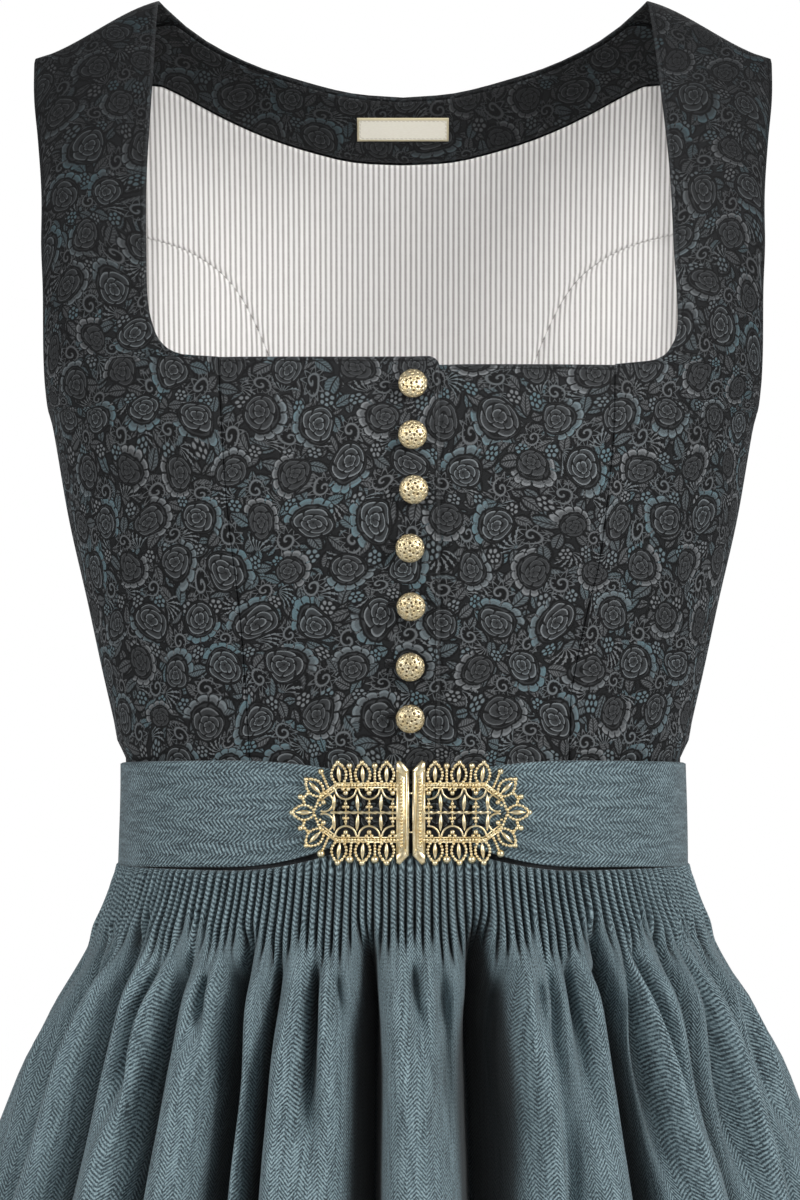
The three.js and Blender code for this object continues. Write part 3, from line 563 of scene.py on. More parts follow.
def weave_brocade():
    finish = Finish("rose brocade")
    flat = finish.cloth_place()
    drift = finish.noise(flat, 0.03, 2.0, 0.35).output("Color")
    place = finish.vector("MULTIPLY_ADD", drift, (DRIFT, DRIFT, 0), flat)
    across, up = finish.split(flat)
    figures = Jacquard(finish, *finish.split(place))
    figures.roses(wide=29, high=24.5, shift=(0.1, 0.2), sway=5.0, seed=0.7, radius=8.2)
    figures.scrolls(wide=29, high=24.5, shift=(0.6, 0.55), sway=3.4, seed=2.9, radius=4.8)
    figures.small_flowers(wide=14.5, high=24.5, shift=(0.35, 0.87), sway=4.4, seed=5.1, size=2.4)
    figures.sprays(wide=21, high=24.5, shift=(0.85, 0.75), sway=5.0, seed=8.3, reach=9.0)
    figures.leaves(wide=10.4, high=9.2, shift=(0.2, 0.4), sway=3.4, seed=3.3, long=5.6, broad=2.9)
    figures.leaves(wide=7.3, high=6.4, shift=(0.7, 0.1), sway=2.4, seed=6.1, long=3.9, broad=2.1)
    light = figures.light
    outline = figures.taken * light.below(0.13, 0.16)
    wear = finish.noise(place, 0.028, 2.0)
    rib = ((up * 1.35 + across * 0.3) * math.tau).sine()
    thread = finish.cloth_noise(2.4, 0.8)
    height = finish.split(finish.node("ShaderNodeTexCoord", output="Object"))[0].output("Z")
    # Painted shade: the figures are painted dimmer towards the shoulders and straps.
    shoulder_shade = 0.36 + 0.84 * height.below(-0.17, 0.24)
    woven = light * shoulder_shade * (0.62 + 0.8 * wear) * (0.84 + 0.1 * rib + 0.2 * thread)
    ground = finish.mix(outline, GROUND, INK)
    satin = finish.mix(light.above(0.72, 0.4), SATIN, SATIN_LIGHT)
    satin = finish.mix((figures.blue * wear.above(0.48, 0.4) * 1.5).least(1.0), satin, DULL_BLUE)
    colour = finish.mix(woven.least(1.0), ground, satin)
    # Painted shade: the brocade is painted darker towards the shoulders, mixed towards the ink colour.
    colour = finish.mix((1 - height.below(-0.12, 0.2)) * 0.3, colour, INK)
    edge = finish.attribute("edge")
    row = abs(edge - 2.2).below(0.32, 0.3)
    dashes = (across + up).stitches(2.9, 0.36)
    colour = finish.mix(row * (0.55 + 0.25 * dashes), colour, INK)
    # Painted highlight: the cloth is painted lighter, towards the satin colour, close to its folded edges.
    fold = edge.below(0.9, 0.9)
    colour = finish.mix(fold * 0.25, colour, SATIN)
    grain = rib * 0.25 + thread * 0.8 - row * 1.2 * (1.2 - dashes)
    return finish.finish(
        Base_Color=colour,
        Roughness=0.8 - 0.32 * woven.least(1.0),
        Normal=finish.bump(grain, 0.00022, 0.9),
        Specular_IOR_Level=0.3,
    )


brocade = weave_brocade()

# The cotton that backs the fronts and lines the back, cream with fine taupe stripes up and down,
# sewn with a row of small stitches beside its seams.
STRIPE = 2.75
COTTON = (0.92, 0.9, 0.88, 1)
TAUPE = (0.24, 0.215, 0.2, 1)


def weave_stripe():
    finish = Finish("striped cotton lining")
    across, up = finish.split(finish.cloth_place())
    waver = finish.cloth_noise(0.9, 0.12)
    thread = finish.cloth_noise(5.5, 1.6, 2.0)
    line = abs((across / STRIPE).fract() - 0.5).times_plus(STRIPE, (waver - 0.5) * 0.24)
    dark = line.below(0.6, 0.55) * (0.72 + 0.62 * (thread - 0.5) * 2.0)
    weft, warp = up.waves(0.62), across.waves(0.55)
    colour = finish.mix(dark.least(1.0), COTTON, TAUPE)
    seam = finish.attribute("edge")
    stitch = abs(seam - 1.3).below(0.42, 0.3) * up.stitches(2.6, 0.3)
    colour = finish.mix(stitch * 0.55, colour, TAUPE)
    return finish.finish(
        Base_Color=colour,
        Roughness=0.86 - 0.08 * thread,
        Normal=finish.bump(weft * 0.5 + warp * 0.5 - dark * 0.5 - stitch * 1.5, 0.0001, 0.8),
        Sheen_Weight=0.15,
        Sheen_Roughness=0.6,
    )


striped_cotton = weave_stripe()


def dress_in(piece, slot, *finishes):
    """Gives a piece its finishes: outside, then inside where it differs."""
    for finish in finishes:
        piece.data.materials.append(finish)


# The cut of the right front: the princess seam on its outer side, the neckline across its top, and
# the lap with a rounded corner, which stands off a little where it lies over the left front.
SEAM_RIGHT = ((-30, -73), (10, -74.5), (67, -78), (128, -84.6), (196.9, -88.8))
LAP_TOP = 196.9
LAP_EDGE = 17.8
LAP_CORNER = ((-30, 17.8), (190.5, 17.8), (193.5, 17.2), (195.8, 15.4), (196.9, 12.8))
LAP_LIFT = {"high": 1.1, "from": 1, "over": 15}


def lap_lift(x):
    """How far the lap stands off."""
    return LAP_LIFT["high"] * blend((x - LAP_LIFT["from"]) / LAP_LIFT["over"])


corner_heights = [190.5, 192, 193.5, 194.7, 195.8, LAP_TOP]
heights = np.concatenate([np.linspace(BODICE_LOW, 186, 62), corner_heights])
theta, z = rows_between(
    heights,
    34,
    lambda h: angle_at(along(SEAM_RIGHT, h), h, -1),
    lambda h: angle_at(along(LAP_CORNER, h), h, -1),
)
x = bodice_face(theta, z)[..., 0]
lift = lap_lift(x)
from_edge = np.minimum(LAP_EDGE - x, LAP_TOP - z)
front_overlap = panel("front_right_panel", theta, z, lift, CLOTH + lift, edge=from_edge)
dress_in(front_overlap, "brocade", brocade, striped_cotton)
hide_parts("front_overlap")

# The left front, the same brocade. Its edge runs on under the right front, where the buttons are
# sewn to it.
SEAM_LEFT = (
    (-30, 80), (17, 80.6), (37, 81.4), (79, 89.6), (96, 93.8), (121, 97.2), (162, 101), (193.5, 101.8),
)
UNDERLAP_EDGE = 6
UNDERLAP_TOP = 193.2
UNDERLAP_GAP = SEAM + 0.15
theta, z = rows_between(
    np.linspace(BODICE_LOW, UNDERLAP_TOP, 66),
    34,
    lambda h: angle_at(UNDERLAP_EDGE, h, -1),
    lambda h: angle_at(along(SEAM_LEFT, h), h, -1),
)
x = bodice_face(theta, z)[..., 0]
under_lap = lap_lift(np.minimum(x, LAP_EDGE)) - UNDERLAP_GAP - CLOTH
drop = mix(under_lap, 0, blend((x - LAP_EDGE - 1) / 12))
front_underlap = panel("front_left_panel", theta, z, drop, CLOTH + drop, edge=UNDERLAP_TOP - z)
dress_in(front_underlap, "brocade", brocade, striped_cotton)
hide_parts("front_underlap")

# Seven ball buttons of gilt metal, cast with pits all over and dark in the pits, and painted with
# shade on the underside of each ball and on its shank. Each stands on a shank that is sewn to the
# left front and comes through a worked buttonhole in the right front.
BUTTONS = ((182.5, 4.8), (159.5, 4.8), (133.4, 5.3), (106, 3.4), (78, 3.8), (49, 3.4), (24, 3.4))
BUTTON = {
    "radius": 7, "half": 3.9, "shank": 1.6, "shank_radius": 2.2, "pits": 84, "grains": 420,
    "pit_depth": 0.1, "rim_height": 0.022, "grain_height": 0.02,
}
GILT = (0.84, 0.68, 0.39, 1)
GILT_PALE = (0.95, 0.84, 0.58, 1)
TARNISH_AND_SHADE = (0.1, 0.06, 0.022, 1)


def cast_gilt():
    finish = Finish("antique gilt")
    place = finish.node("ShaderNodeTexCoord", output="Object")
    cloudy = finish.noise(place, 420.0, 2.0)
    grain = finish.noise(place, 1900.0, 2.0)
    deep = finish.attribute("deep")
    # The deep mark carries dark patina in the pits, and painted shade on the buttons' undersides and
    # shanks and low in the clasp.
    dark = (deep * (0.75 + 0.5 * cloudy)).least(1.0)
    gold = finish.mix(cloudy.above(0.52, 0.3), GILT, GILT_PALE)
    return finish.finish(
        Base_Color=finish.mix(dark, gold, TARNISH_AND_SHADE),
        Metallic=0.97 - 0.25 * dark,
        Roughness=0.27 + 0.3 * dark + 0.12 * grain,
        Normal=finish.bump(grain, 0.00006, 0.7),
    )


gilt = cast_gilt()


def ball(subdivisions):
    made = bmesh.new()
    bmesh.ops.create_icosphere(made, subdivisions=subdivisions, radius=1)
    made.verts.index_update()
    points = np.array([vertex.co for vertex in made.verts])
    faces = [[vertex.index for vertex in face.verts] for face in made.faces]
    made.free()
    return points, faces


def spiral(count, seed):
    """Directions spread evenly over a ball and moved a little."""
    number = np.arange(count) + 0.5
    up = 1 - 2 * number / count
    turn = number * math.pi * (3 - math.sqrt(5))
    level = np.sqrt(1 - up * up)
    spread = np.stack([level * np.cos(turn), level * np.sin(turn), up], axis=-1)
    return unit(spread + np.random.default_rng(seed).normal(0, 0.35 / math.sqrt(count), (count, 3)))


def dents(directions, centres, sizes):
    """1 at the middle of a dent, 0 outside it."""
    away = np.arccos(np.clip(directions @ centres.T, -1, 1)) / sizes
    return blend((1 - away) * 1.7).max(axis=1)


def tube(points, radius, sides=8, up=(0, 0, 1), closed=False, ribs=None):
    """A round wire along points; radius may vary along it, and up is square to its run."""
    points = np.array(points, float)
    ahead, behind = np.roll(points, -1, axis=0), np.roll(points, 1, axis=0)
    if not closed:
        ahead[-1], behind[0] = points[-1], points[0]
    run = unit(ahead - behind)
    up = np.broadcast_to(up, points.shape)
    beside = unit(np.cross(run, up))
    up = unit(np.cross(beside, run))
    turn = np.linspace(0, math.tau, sides, endpoint=False)
    thick = np.broadcast_to(np.asarray(radius, float), len(points))[:, None] * np.ones(sides)
    if ribs is not None:
        thick = thick * (1 + ribs[1] * np.cos(2 * turn - ribs[0] * np.arange(len(points))[:, None]))
    ring = beside[:, None] * np.cos(turn)[:, None] + up[:, None] * np.sin(turn)[:, None]
    placed = (points[:, None] + ring * thick[..., None]).reshape(-1, 3)
    index = np.arange(len(placed)).reshape(len(points), sides)
    if closed:
        index = np.concatenate([index, index[:1]])
    beyond = np.roll(index, -1, axis=1)
    faces = np.stack([index[:-1], index[1:], beyond[1:], beyond[:-1]], axis=-1).reshape(-1, 4).tolist()
    if not closed:
        faces += [index[0].tolist(), index[-1, ::-1].tolist()]
    return placed, faces


def joined(parts):
    points, faces, count = [], [], 0
    for part_points, part_faces in parts:
        points.append(part_points)
        faces += [[corner + count for corner in face] for face in part_faces]
        count += len(part_points)
    return np.concatenate(points), faces


def small_piece(name, points, faces, deep, slot, finish):
    mesh = bpy.data.meshes.new(name)
    mesh.from_pydata(((points - np.array([0, 0, SHOULDER_HEIGHT])) * MM).tolist(), [], faces)
    mesh.polygons.foreach_set("use_smooth", [True] * len(faces))
    mesh.attributes.new("deep", "FLOAT", "POINT").data.foreach_set("value", np.asarray(deep, np.float32))
    piece = bpy.data.objects.new(name, mesh)
    bpy.context.collection.objects.link(piece)
    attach(piece, "root")
    dress_in(piece, slot, finish)
    return piece


directions, ball_faces = ball(6)
pit_centres = spiral(BUTTON["pits"], 4)
pit_sizes = 0.11 + 0.055 * np.random.default_rng(6).random(BUTTON["pits"])
pits = dents(directions, pit_centres, pit_sizes)
rim = dents(directions, pit_centres, pit_sizes * 1.9)
grains = dents(directions, spiral(BUTTON["grains"], 9), np.full(BUTTON["grains"], 0.07))
relief = BUTTON["rim_height"] * (rim - pits) + BUTTON["grain_height"] * grains * (1 - pits)
shape = directions * (1 - BUTTON["pit_depth"] * pits + relief)[:, None]
shape = shape * np.array([BUTTON["radius"], BUTTON["radius"], BUTTON["half"]]) / 1.03
middle = BUTTON["shank"] + BUTTON["half"]
shank_points, shank_faces = tube(
    [[0, 0, 0], [0, 0, 0.6], [0, 0, middle - 2]], BUTTON["shank_radius"], 20, up=(1, 0, 0),
)
# Dark patina in the pits, and painted shade on the underside of each ball and on its shank.
button_tarnish_and_shade = np.concatenate([
    np.clip(pits + 0.5 * (1 - rim) * (1 - grains) + 0.85 * blend((0.5 - directions[:, 2]) / 0.9), 0, 1),
    np.full(len(shank_points), 0.8),
])
for number, (height, side) in enumerate(BUTTONS, 1):
    turn = Matrix.Rotation(number * 2.4, 3, "Z")
    turned = shape @ np.array(turn).T + np.array([0, 0, middle])
    points, faces = joined([(turned, ball_faces), (shank_points, shank_faces)])
    theta = angle_at(side, height, -1)
    seat = bodice_place(theta, height, CLOTH + lap_lift(side) + SEAM)
    outward = Vector(bodice_place(theta, height, CLOTH + 1) - bodice_place(theta, height, CLOTH))
    stand = np.array(outward.to_track_quat("Z", "Y").to_matrix())
    name = f"ball_button_{number}"
    button = small_piece(name, points @ stand.T + seat, faces, button_tarnish_and_shade, "gold_metal", gilt)
    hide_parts(f"button_{number}")

# The buttonholes, worked in black thread round a slit that runs from each button towards the
# wearer's right.
HOLE = {"from": -11.4, "to": 4.2, "half": 1.25, "thread": 0.62, "stitches": 150}
THREAD_BLACK = (0.002, 0.002, 0.0022, 1)
THREAD_WORN = (0.012, 0.0125, 0.014, 1)


def wind_thread():
    finish = Finish("black thread")
    place = finish.node("ShaderNodeTexCoord", output="Object")
    strands = finish.noise(place, 2400.0, 2.0)
    return finish.finish(
        Base_Color=finish.mix(strands, THREAD_BLACK, THREAD_WORN),
        Roughness=0.7 - 0.2 * strands,
        Normal=finish.bump(strands, 0.00012, 0.8),
    )


thread_rings = []
for height, side in BUTTONS:
    turn = np.linspace(0, math.tau, HOLE["stitches"], endpoint=False)
    reach = (HOLE["to"] - HOLE["from"]) / 2
    ring_x = side + HOLE["from"] + reach + reach * np.sign(np.cos(turn)) * np.abs(np.cos(turn)) ** 0.7
    ring_z = height + HOLE["half"] * np.sign(np.sin(turn)) * np.abs(np.sin(turn)) ** 0.6
    theta = angle_at(ring_x, ring_z, -1)
    lying = bodice_place(theta, ring_z, CLOTH + lap_lift(ring_x) + 0.1)
    lifted = bodice_place(theta, ring_z, CLOTH + lap_lift(ring_x) + 1.1)
    ribbed = HOLE["thread"] * (1 + 0.16 * np.cos(np.arange(len(turn)) * math.pi))
    thread_rings.append(tube(lying, ribbed, 7, up=lifted - lying, closed=True))
    slit_x = np.linspace(side + HOLE["from"] + 1, side + HOLE["to"] - 1, 20)
    slit = bodice_place(angle_at(slit_x, height, -1), height, CLOTH + lap_lift(slit_x) - 0.15)
    thread_rings.append(tube(slit, 0.55, 8, up=(0, 0, 1)))
points, faces = joined(thread_rings)
small_piece("worked_buttonholes", points, faces, np.zeros(len(points)), "brocade", wind_thread())

# The two side fronts. Each runs from the waist past the princess seam and the side seam, round the
# armhole, and up as the shoulder strap to the crest of the shoulder. All its free edges are turned
# in and stitched close to the fold.
UNDERARM = 172
NO_EDGE = 99
NECK_RIGHT = (
    (196.9, -88.8), (198.3, -105.7), (203.6, -115.8), (212.3, -120.6), (225, -123.4), (249, -124.4),
    (283, -125), (337, -123), (378, -122),
)
NECK_LEFT = (
    (193.5, 101.8), (196, 121), (203.7, 130), (213.4, 132.6), (230.6, 132.4), (247, 131.5),
    (293, 129.8), (336, 126), (378, 122),
)
ARMHOLE_FRONT = (
    (172, 0), (174, 5), (180, 11), (190, 16), (205, 20), (230, 23.5), (255, 25), (285, 25),
    (325, 22), (357, 18), (378, 16.3),
)
ARMHOLE_BACK = (
    (172, 0), (174, 6), (180, 13), (190, 19), (205, 24), (230, 29), (260, 32), (300, 32), (336, 28),
    (360, 21), (378, 16.3),
)


def armhole_angle(table, z, side):
    return side * np.radians(along(table, z))


def side_front(name, seam, neck, side):
    top = seam[-1][0]

    def inner_edge(h):
        return angle_at(np.where(h <= top, along(seam, h), along(neck, h)), h, -1)

    def outer_edge(h):
        turn = armhole_angle(ARMHOLE_FRONT, h, -1)
        return turn if side > 0 else -math.pi - turn

    lower = np.linspace(BODICE_LOW, UNDERARM, 46)
    curve = np.array([
        174, 177, 180, 184, 188, 192, 195.2, 196.9, 197.6, 198.3, 199.8, 201.6, 203.6, 206, 209,
    ])
    strap = np.linspace(212.3, 354, 34)
    crest = np.array([360, 365, 369, 372, 374.5, 376.3, 377.4, SHOULDER_HEIGHT])
    heights = np.unique(np.concatenate([lower, curve, strap, crest, [top, neck[1][0]]]))
    theta, z = rows_between(heights, 26, inner_edge, outer_edge)
    face = bodice_face(theta, z)
    from_neck = np.where(z > top, np.abs(face[..., 0] - face[:, :1, 0]), NO_EDGE)
    from_arm = np.where(z > UNDERARM, np.linalg.norm(face - face[:, -1:], axis=2), NO_EDGE)
    return panel(name, theta, z, 0, CLOTH, np.minimum(from_neck, from_arm))


side_front_right = side_front("side_front_right_panel", SEAM_RIGHT, NECK_RIGHT, -1)
dress_in(side_front_right, "brocade", brocade, striped_cotton)
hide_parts("side_front_right")
side_front_left = side_front("side_front_left_panel", SEAM_LEFT, NECK_LEFT, 1)
dress_in(side_front_left, "brocade", brocade, striped_cotton)
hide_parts("side_front_left")

# The back: a centre piece that carries both back shoulders and the curved neckline, and a side piece
# at each side, sewn to it along a seam that curves out to the armhole.
SEAM_TOP = 272
BACK_SEAM = (
    (-30, 45), (0, 45), (60, 49), (120, 56), (170, 62), (200, 67.5), (215, 73), (231, 80.5),
    (243, 88.5), (252, 98), (261, 114), (267, 135), (270, 152), (272, 168.6),
)
BACK_NECK = ((0, 336), (26, 338), (52, 344), (78, 352), (103, 364), (122, 378))
BACK_LOWER = np.concatenate([
    np.linspace(BODICE_LOW, 200, 52),
    [208, 215, 223, 231, 237, 243, 248, 252, 257, 261, 264, 267, 268.6, 270],
])


def centre_back_grid(top_of, rises):
    neck_share = SHOULDER_INNER / SHOULDER_OUTER
    shares = np.unique(np.concatenate([
        np.linspace(-1, 1, 41), [-neck_share, neck_share, -neck_share - 0.01, neck_share + 0.01],
    ]))
    theta_rows, z_rows = [], []
    for height in [*BACK_LOWER, SEAM_TOP]:
        half = along(BACK_SEAM, height)
        theta_rows.append(angle_at(shares * half, height, 1))
        z_rows.append(np.full(len(shares), height))

    def half_at(h):
        return bodice_face(armhole_angle(ARMHOLE_BACK, h, 1), h)[..., 0]

    top = np.full(len(shares), float(SHOULDER_HEIGHT))
    for _ in range(4):
        top = top_of(np.abs(shares) * half_at(top))
    for rise in rises:
        height = mix(SEAM_TOP, top, rise)
        theta_rows.append(angle_at(shares * half_at(height), height, 1))
        z_rows.append(height)
    return np.array(theta_rows[::-1]), np.array(z_rows[::-1])


def back_top(x):
    return np.where(x < SHOULDER_INNER - 1e-3, along(BACK_NECK, x), SHOULDER_HEIGHT)


rises = np.concatenate([np.linspace(0.04, 0.9, 28), [0.93, 0.955, 0.975, 0.988, 0.996, 1]])
theta, z = centre_back_grid(back_top, rises)
face = bodice_face(theta, z)
from_neck = np.where(np.abs(face[..., 0]) < SHOULDER_INNER, face[:1, :, 2] - face[..., 2], NO_EDGE)
from_right = np.linalg.norm(face - face[:, :1], axis=2)
from_left = np.linalg.norm(face - face[:, -1:], axis=2)
from_arm = np.where(z > SEAM_TOP, np.minimum(from_right, from_left), NO_EDGE)
back_centre = panel("back_centre_panel", theta, z, 0, CLOTH, np.minimum(from_neck, from_arm))
dress_in(back_centre, "brocade", brocade, brocade)
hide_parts("back_centre")


def side_back(name, side, inner, outer):
    def arm_edge(h):
        turn = armhole_angle(ARMHOLE_BACK, h, 1)
        return turn if side > 0 else math.pi - turn

    def seam_edge(h):
        turn = angle_at(along(BACK_SEAM, h), h, 1)
        return turn if side > 0 else math.pi - turn

    theta, z = rows_between([*BACK_LOWER, SEAM_TOP - 0.1], 22, arm_edge, seam_edge)
    face = bodice_face(theta, z)
    from_arm = np.where(z > UNDERARM, np.linalg.norm(face - face[:, :1], axis=2), NO_EDGE)
    return panel(name, theta, z, inner, outer, from_arm)


side_back_right = side_back("side_back_right_panel", -1, 0, CLOTH)
dress_in(side_back_right, "brocade", brocade, striped_cotton)
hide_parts("side_back_right")
side_back_left = side_back("side_back_left_panel", 1, 0, CLOTH)
dress_in(side_back_left, "brocade", brocade, striped_cotton)
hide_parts("side_back_left")

# The lining of the back, a fine cotton stripe, cut in the same three pieces and sewn in along the
# armholes and the facing. Its seams show as the stripes meet at an angle.
LINING = 1.1
LINING_OUT = -0.8
FACING_EDGE = (
    (0, 305.4), (24, 306.6), (43, 310.6), (69, 318.5), (93.5, 329), (113, 339), (127, 345), (146, 350),
)
theta, z = centre_back_grid(lambda x: along(FACING_EDGE, x) - 1.6, np.linspace(0.06, 1, 18))
lining_centre = panel("lining_centre_panel", theta, z, LINING_OUT - LINING, LINING_OUT)
dress_in(lining_centre, "lining", striped_cotton)
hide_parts("lining_centre")
lining_right = side_back("lining_side_right_panel", -1, LINING_OUT - LINING, LINING_OUT)
dress_in(lining_right, "lining", striped_cotton)
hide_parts("lining_side_right")
lining_left = side_back("lining_side_left_panel", 1, LINING_OUT - LINING, LINING_OUT)
dress_in(lining_left, "lining", striped_cotton)
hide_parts("lining_side_left")

# The facing, a strip of the brocade sewn inside the back neckline and out to the shoulders. Its
# lower edge is curved, and the lining is joined to it there.
FACING_HALF = 146
FACING_OUT = -2
shares = np.linspace(-1, 1, 57)
facing_x = shares * FACING_HALF
facing_low = along(FACING_EDGE, np.abs(facing_x))
facing_top = np.minimum(back_top(np.abs(facing_x)) - 0.5, 371)
z = mix(facing_low, facing_top, np.linspace(1, 0, 18)[:, None])
theta = angle_at(np.broadcast_to(facing_x, z.shape), z, 1)
neck_facing = panel("neck_facing_strip", theta, z, FACING_OUT - LINING, FACING_OUT, (z - facing_low))
dress_in(neck_facing, "brocade", brocade)
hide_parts("neck_facing")

# The label, a short cream ribbon with its edges woven shut. It is sewn flat to the facing with small
# stitches all round, and is left bare.
LABEL = {"half": 23.5, "low": 316.8, "high": 328.6}
RIBBON = (0.78, 0.73, 0.6, 1)
RIBBON_LIGHT = (0.9, 0.87, 0.77, 1)
RIBBON_EDGE = (0.52, 0.43, 0.22, 1)
RIBBON_STITCH = (0.45, 0.4, 0.3, 1)
theta, z = rows_between(
    np.linspace(LABEL["low"], LABEL["high"], 9),
    30,
    lambda h: angle_at(LABEL["half"], h, 1),
    lambda h: angle_at(-LABEL["half"], h, 1),
)
label_out = FACING_OUT - LINING - SEAM
label_side = LABEL["half"] - np.abs(bodice_face(theta, z)[..., 0])
label_edge = np.minimum(label_side, np.minimum(z - LABEL["low"], LABEL["high"] - z))
blank_label = panel("blank_label_ribbon", theta, z, label_out - 1, label_out, label_edge)
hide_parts("blank_label")


def weave_label():
    finish = Finish("cream ribbon")
    across, up = finish.split(finish.cloth_place())
    edge = finish.attribute("edge")
    weave = up.waves(0.5) * across.waves(0.7)
    slub = finish.cloth_noise(0.5, 3.0, 2.0)
    cream = finish.mix(slub, RIBBON, RIBBON_LIGHT)
    colour = finish.mix(edge.below(1.0, 0.7) * 0.75, cream, RIBBON_EDGE)
    stitch = abs(edge - 1.5).below(0.3, 0.2) * (across + up).stitches(2.2, 0.32)
    colour = finish.mix(stitch * 0.4, colour, RIBBON_STITCH)
    return finish.finish(
        Base_Color=colour,
        Roughness=0.5 + 0.2 * slub,
        Normal=finish.bump(weave + edge.below(1.0, 0.6) * 2.0 - stitch * 2.0, 0.00008, 0.8),
        Sheen_Weight=0.2,
    )


dress_in(blank_label, "label", weave_label())

# The dress skirt, a plain dark cloth. It is gathered to the bodice round the back, lies flat under
# the apron in front, and falls in deep folds that the apron follows.
SKIRT_SECTIONS = (
    (-650, 345, 292, 286, 2.05),
    (-480, 293, 240, 234, 2.05),
    (-330, 243, 190, 184, 2.05),
    (-220, 204, 155, 149, 2.06),
    (-195, 195.5, 147, 141, 2.08),
    (-170, 186.5, 139, 133, 2.1),
    (-145, 177.2, 131, 125, 2.13),
    (-120, 166.8, 122, 116, 2.16),
    (-107, 160.6, 117, 111, 2.2),
    (-95, 155, 112, 106, 2.22),
    (-82, 149, 107, 101, 2.25),
    (-70, 143.4, 102, 95, 2.28),
    (-57, 139.2, 98, 90, 2.3),
    (-30, 137, 96, 88, 2.3),
)
FOLDS = (
    # degrees from the middle front, half width in degrees, depth, and the height where it starts
    (-171, 3.6, 30, -80), (-154, 3, 22, -95), (-137, 3.6, 32, -75), (-118, 3.2, 26, -90),
    (-101, 3.2, 26, -80), (-84, 3, 22, -90), (-69, 3, 26, -82), (-55, 3.2, 34, -72),
    (-39.5, 2.6, 28, -84), (-27, 3, 40, -78), (-20.3, 2.2, 30, -86), (-5, 3.1, 50, -76),
    (11.6, 5, 60, -72), (24, 2.2, 18, -90), (35.4, 3.3, 44, -76), (52.4, 3.2, 34, -80),
    (67.5, 3.2, 32, -78), (83, 3, 22, -90), (99, 3.2, 28, -82), (116, 3.2, 24, -90),
    (133, 3.6, 33, -75), (151, 3.2, 25, -92), (170, 3.4, 29, -80),
)
FOLD_GROWTH = 44
FOLD_OPENING = 75
FOLD_STEEPNESS = 3.2
FOLD_DEEPENING = 1.15
FOLD_PINCH = 0.7
FOLD_LEAN = 0.42
RIDGE_SHARE = 0.16
SHORT_DEEPENING = 1.7
SHORT_STEEPNESS = 2.8
BAND_TILT = 0.041
BAND_TOP = -1.4
BAND_HEIGHT = 52
HEM = -650
SKIRT_DARK = (0.009, 0.0105, 0.012, 1)
SKIRT_WORN = (0.03, 0.034, 0.038, 1)
SKIRT_BLUE = (0.02, 0.026, 0.032, 1)
SKIRT_SHADE = (0.003, 0.0032, 0.0036, 1)
SKIRT_PLEATS = 84
SKIRT_CORD = 3.0
SKIRT_CORDS_END = 100
GATHER_FROM = 96
PRESSED_IN = 4.4


def ring_place(phi, z, out):
    """A place round the skirt at an angle from the middle front, moved out level from its section."""
    step = 1e-3
    width, front, back, square = (along(SKIRT_SECTIONS, z, i) for i in (1, 2, 3, 4))
    theta = np.radians(phi - 90)
    x, y = section_place(width, front, back, square, theta)
    ahead = section_place(width, front, back, square, theta + step)
    behind = section_place(width, front, back, square, theta - step)
    along_x, along_y = ahead[0] - behind[0], ahead[1] - behind[1]
    size = np.hypot(along_x, along_y)
    return np.stack([x + along_y / size * out, y - along_x / size * out, z + 0 * x], axis=-1)


SHORT_FOLDS = (
    # degrees from the middle front, half width, depth, the heights where it starts and dies out, and
    # how many degrees it runs sideways by then
    (-80, 1.9, 8, -92, -190, -1.5), (-64, 2.0, 10, -84, -230, -2), (-47.5, 1.7, 9, -92, -200, 1.5),
    (-42, 1.6, 11, -88, -240, -1), (-34, 1.4, 7, -98, -150, 1), (-30.5, 1.6, 9, -88, -175, 2),
    (-19.8, 1.5, 13, -92, -300, -1.8), (-13.7, 1.5, 12, -88, -205, 0.8), (-9.5, 1.2, 6, -96, -140, -0.5),
    (1.4, 1.3, 9, -90, -165, 0.8), (4.9, 1.4, 10, -88, -215, -1.2), (16.8, 1.7, 12, -84, -230, 1.6),
    (20.8, 1.2, 6, -98, -150, 0.4), (28.3, 1.7, 11, -88, -210, -1), (32.2, 1.2, 7, -95, -155, 1),
    (40.5, 1.5, 12, -86, -250, 1), (44.5, 1.7, 10, -86, -200, 1.5), (59, 1.8, 11, -86, -260, -1.2),
    (74, 1.8, 9, -90, -210, 1), (-108, 1.8, 9, -90, -200, 1), (-127, 1.7, 10, -84, -240, -1),
    (-146, 1.6, 8, -92, -190, 1.4), (-163, 1.7, 9, -88, -220, -1), (108, 1.8, 10, -90, -210, -1.2),
    (125, 1.6, 8, -86, -190, 1), (143, 1.8, 10, -92, -250, 1.2), (161, 1.6, 9, -88, -200, -1),
    (178, 1.5, 8, -90, -180, 1),
)


def degrees_from(phi, at):
    """How far an angle is from another, at most half a turn either way."""
    return (phi - at + 540) % 360 - 180


def lips(away):
    """The sideways pull on the lips of a fold, which close over it."""
    return away * np.exp(-((away / 1.2) ** 2))


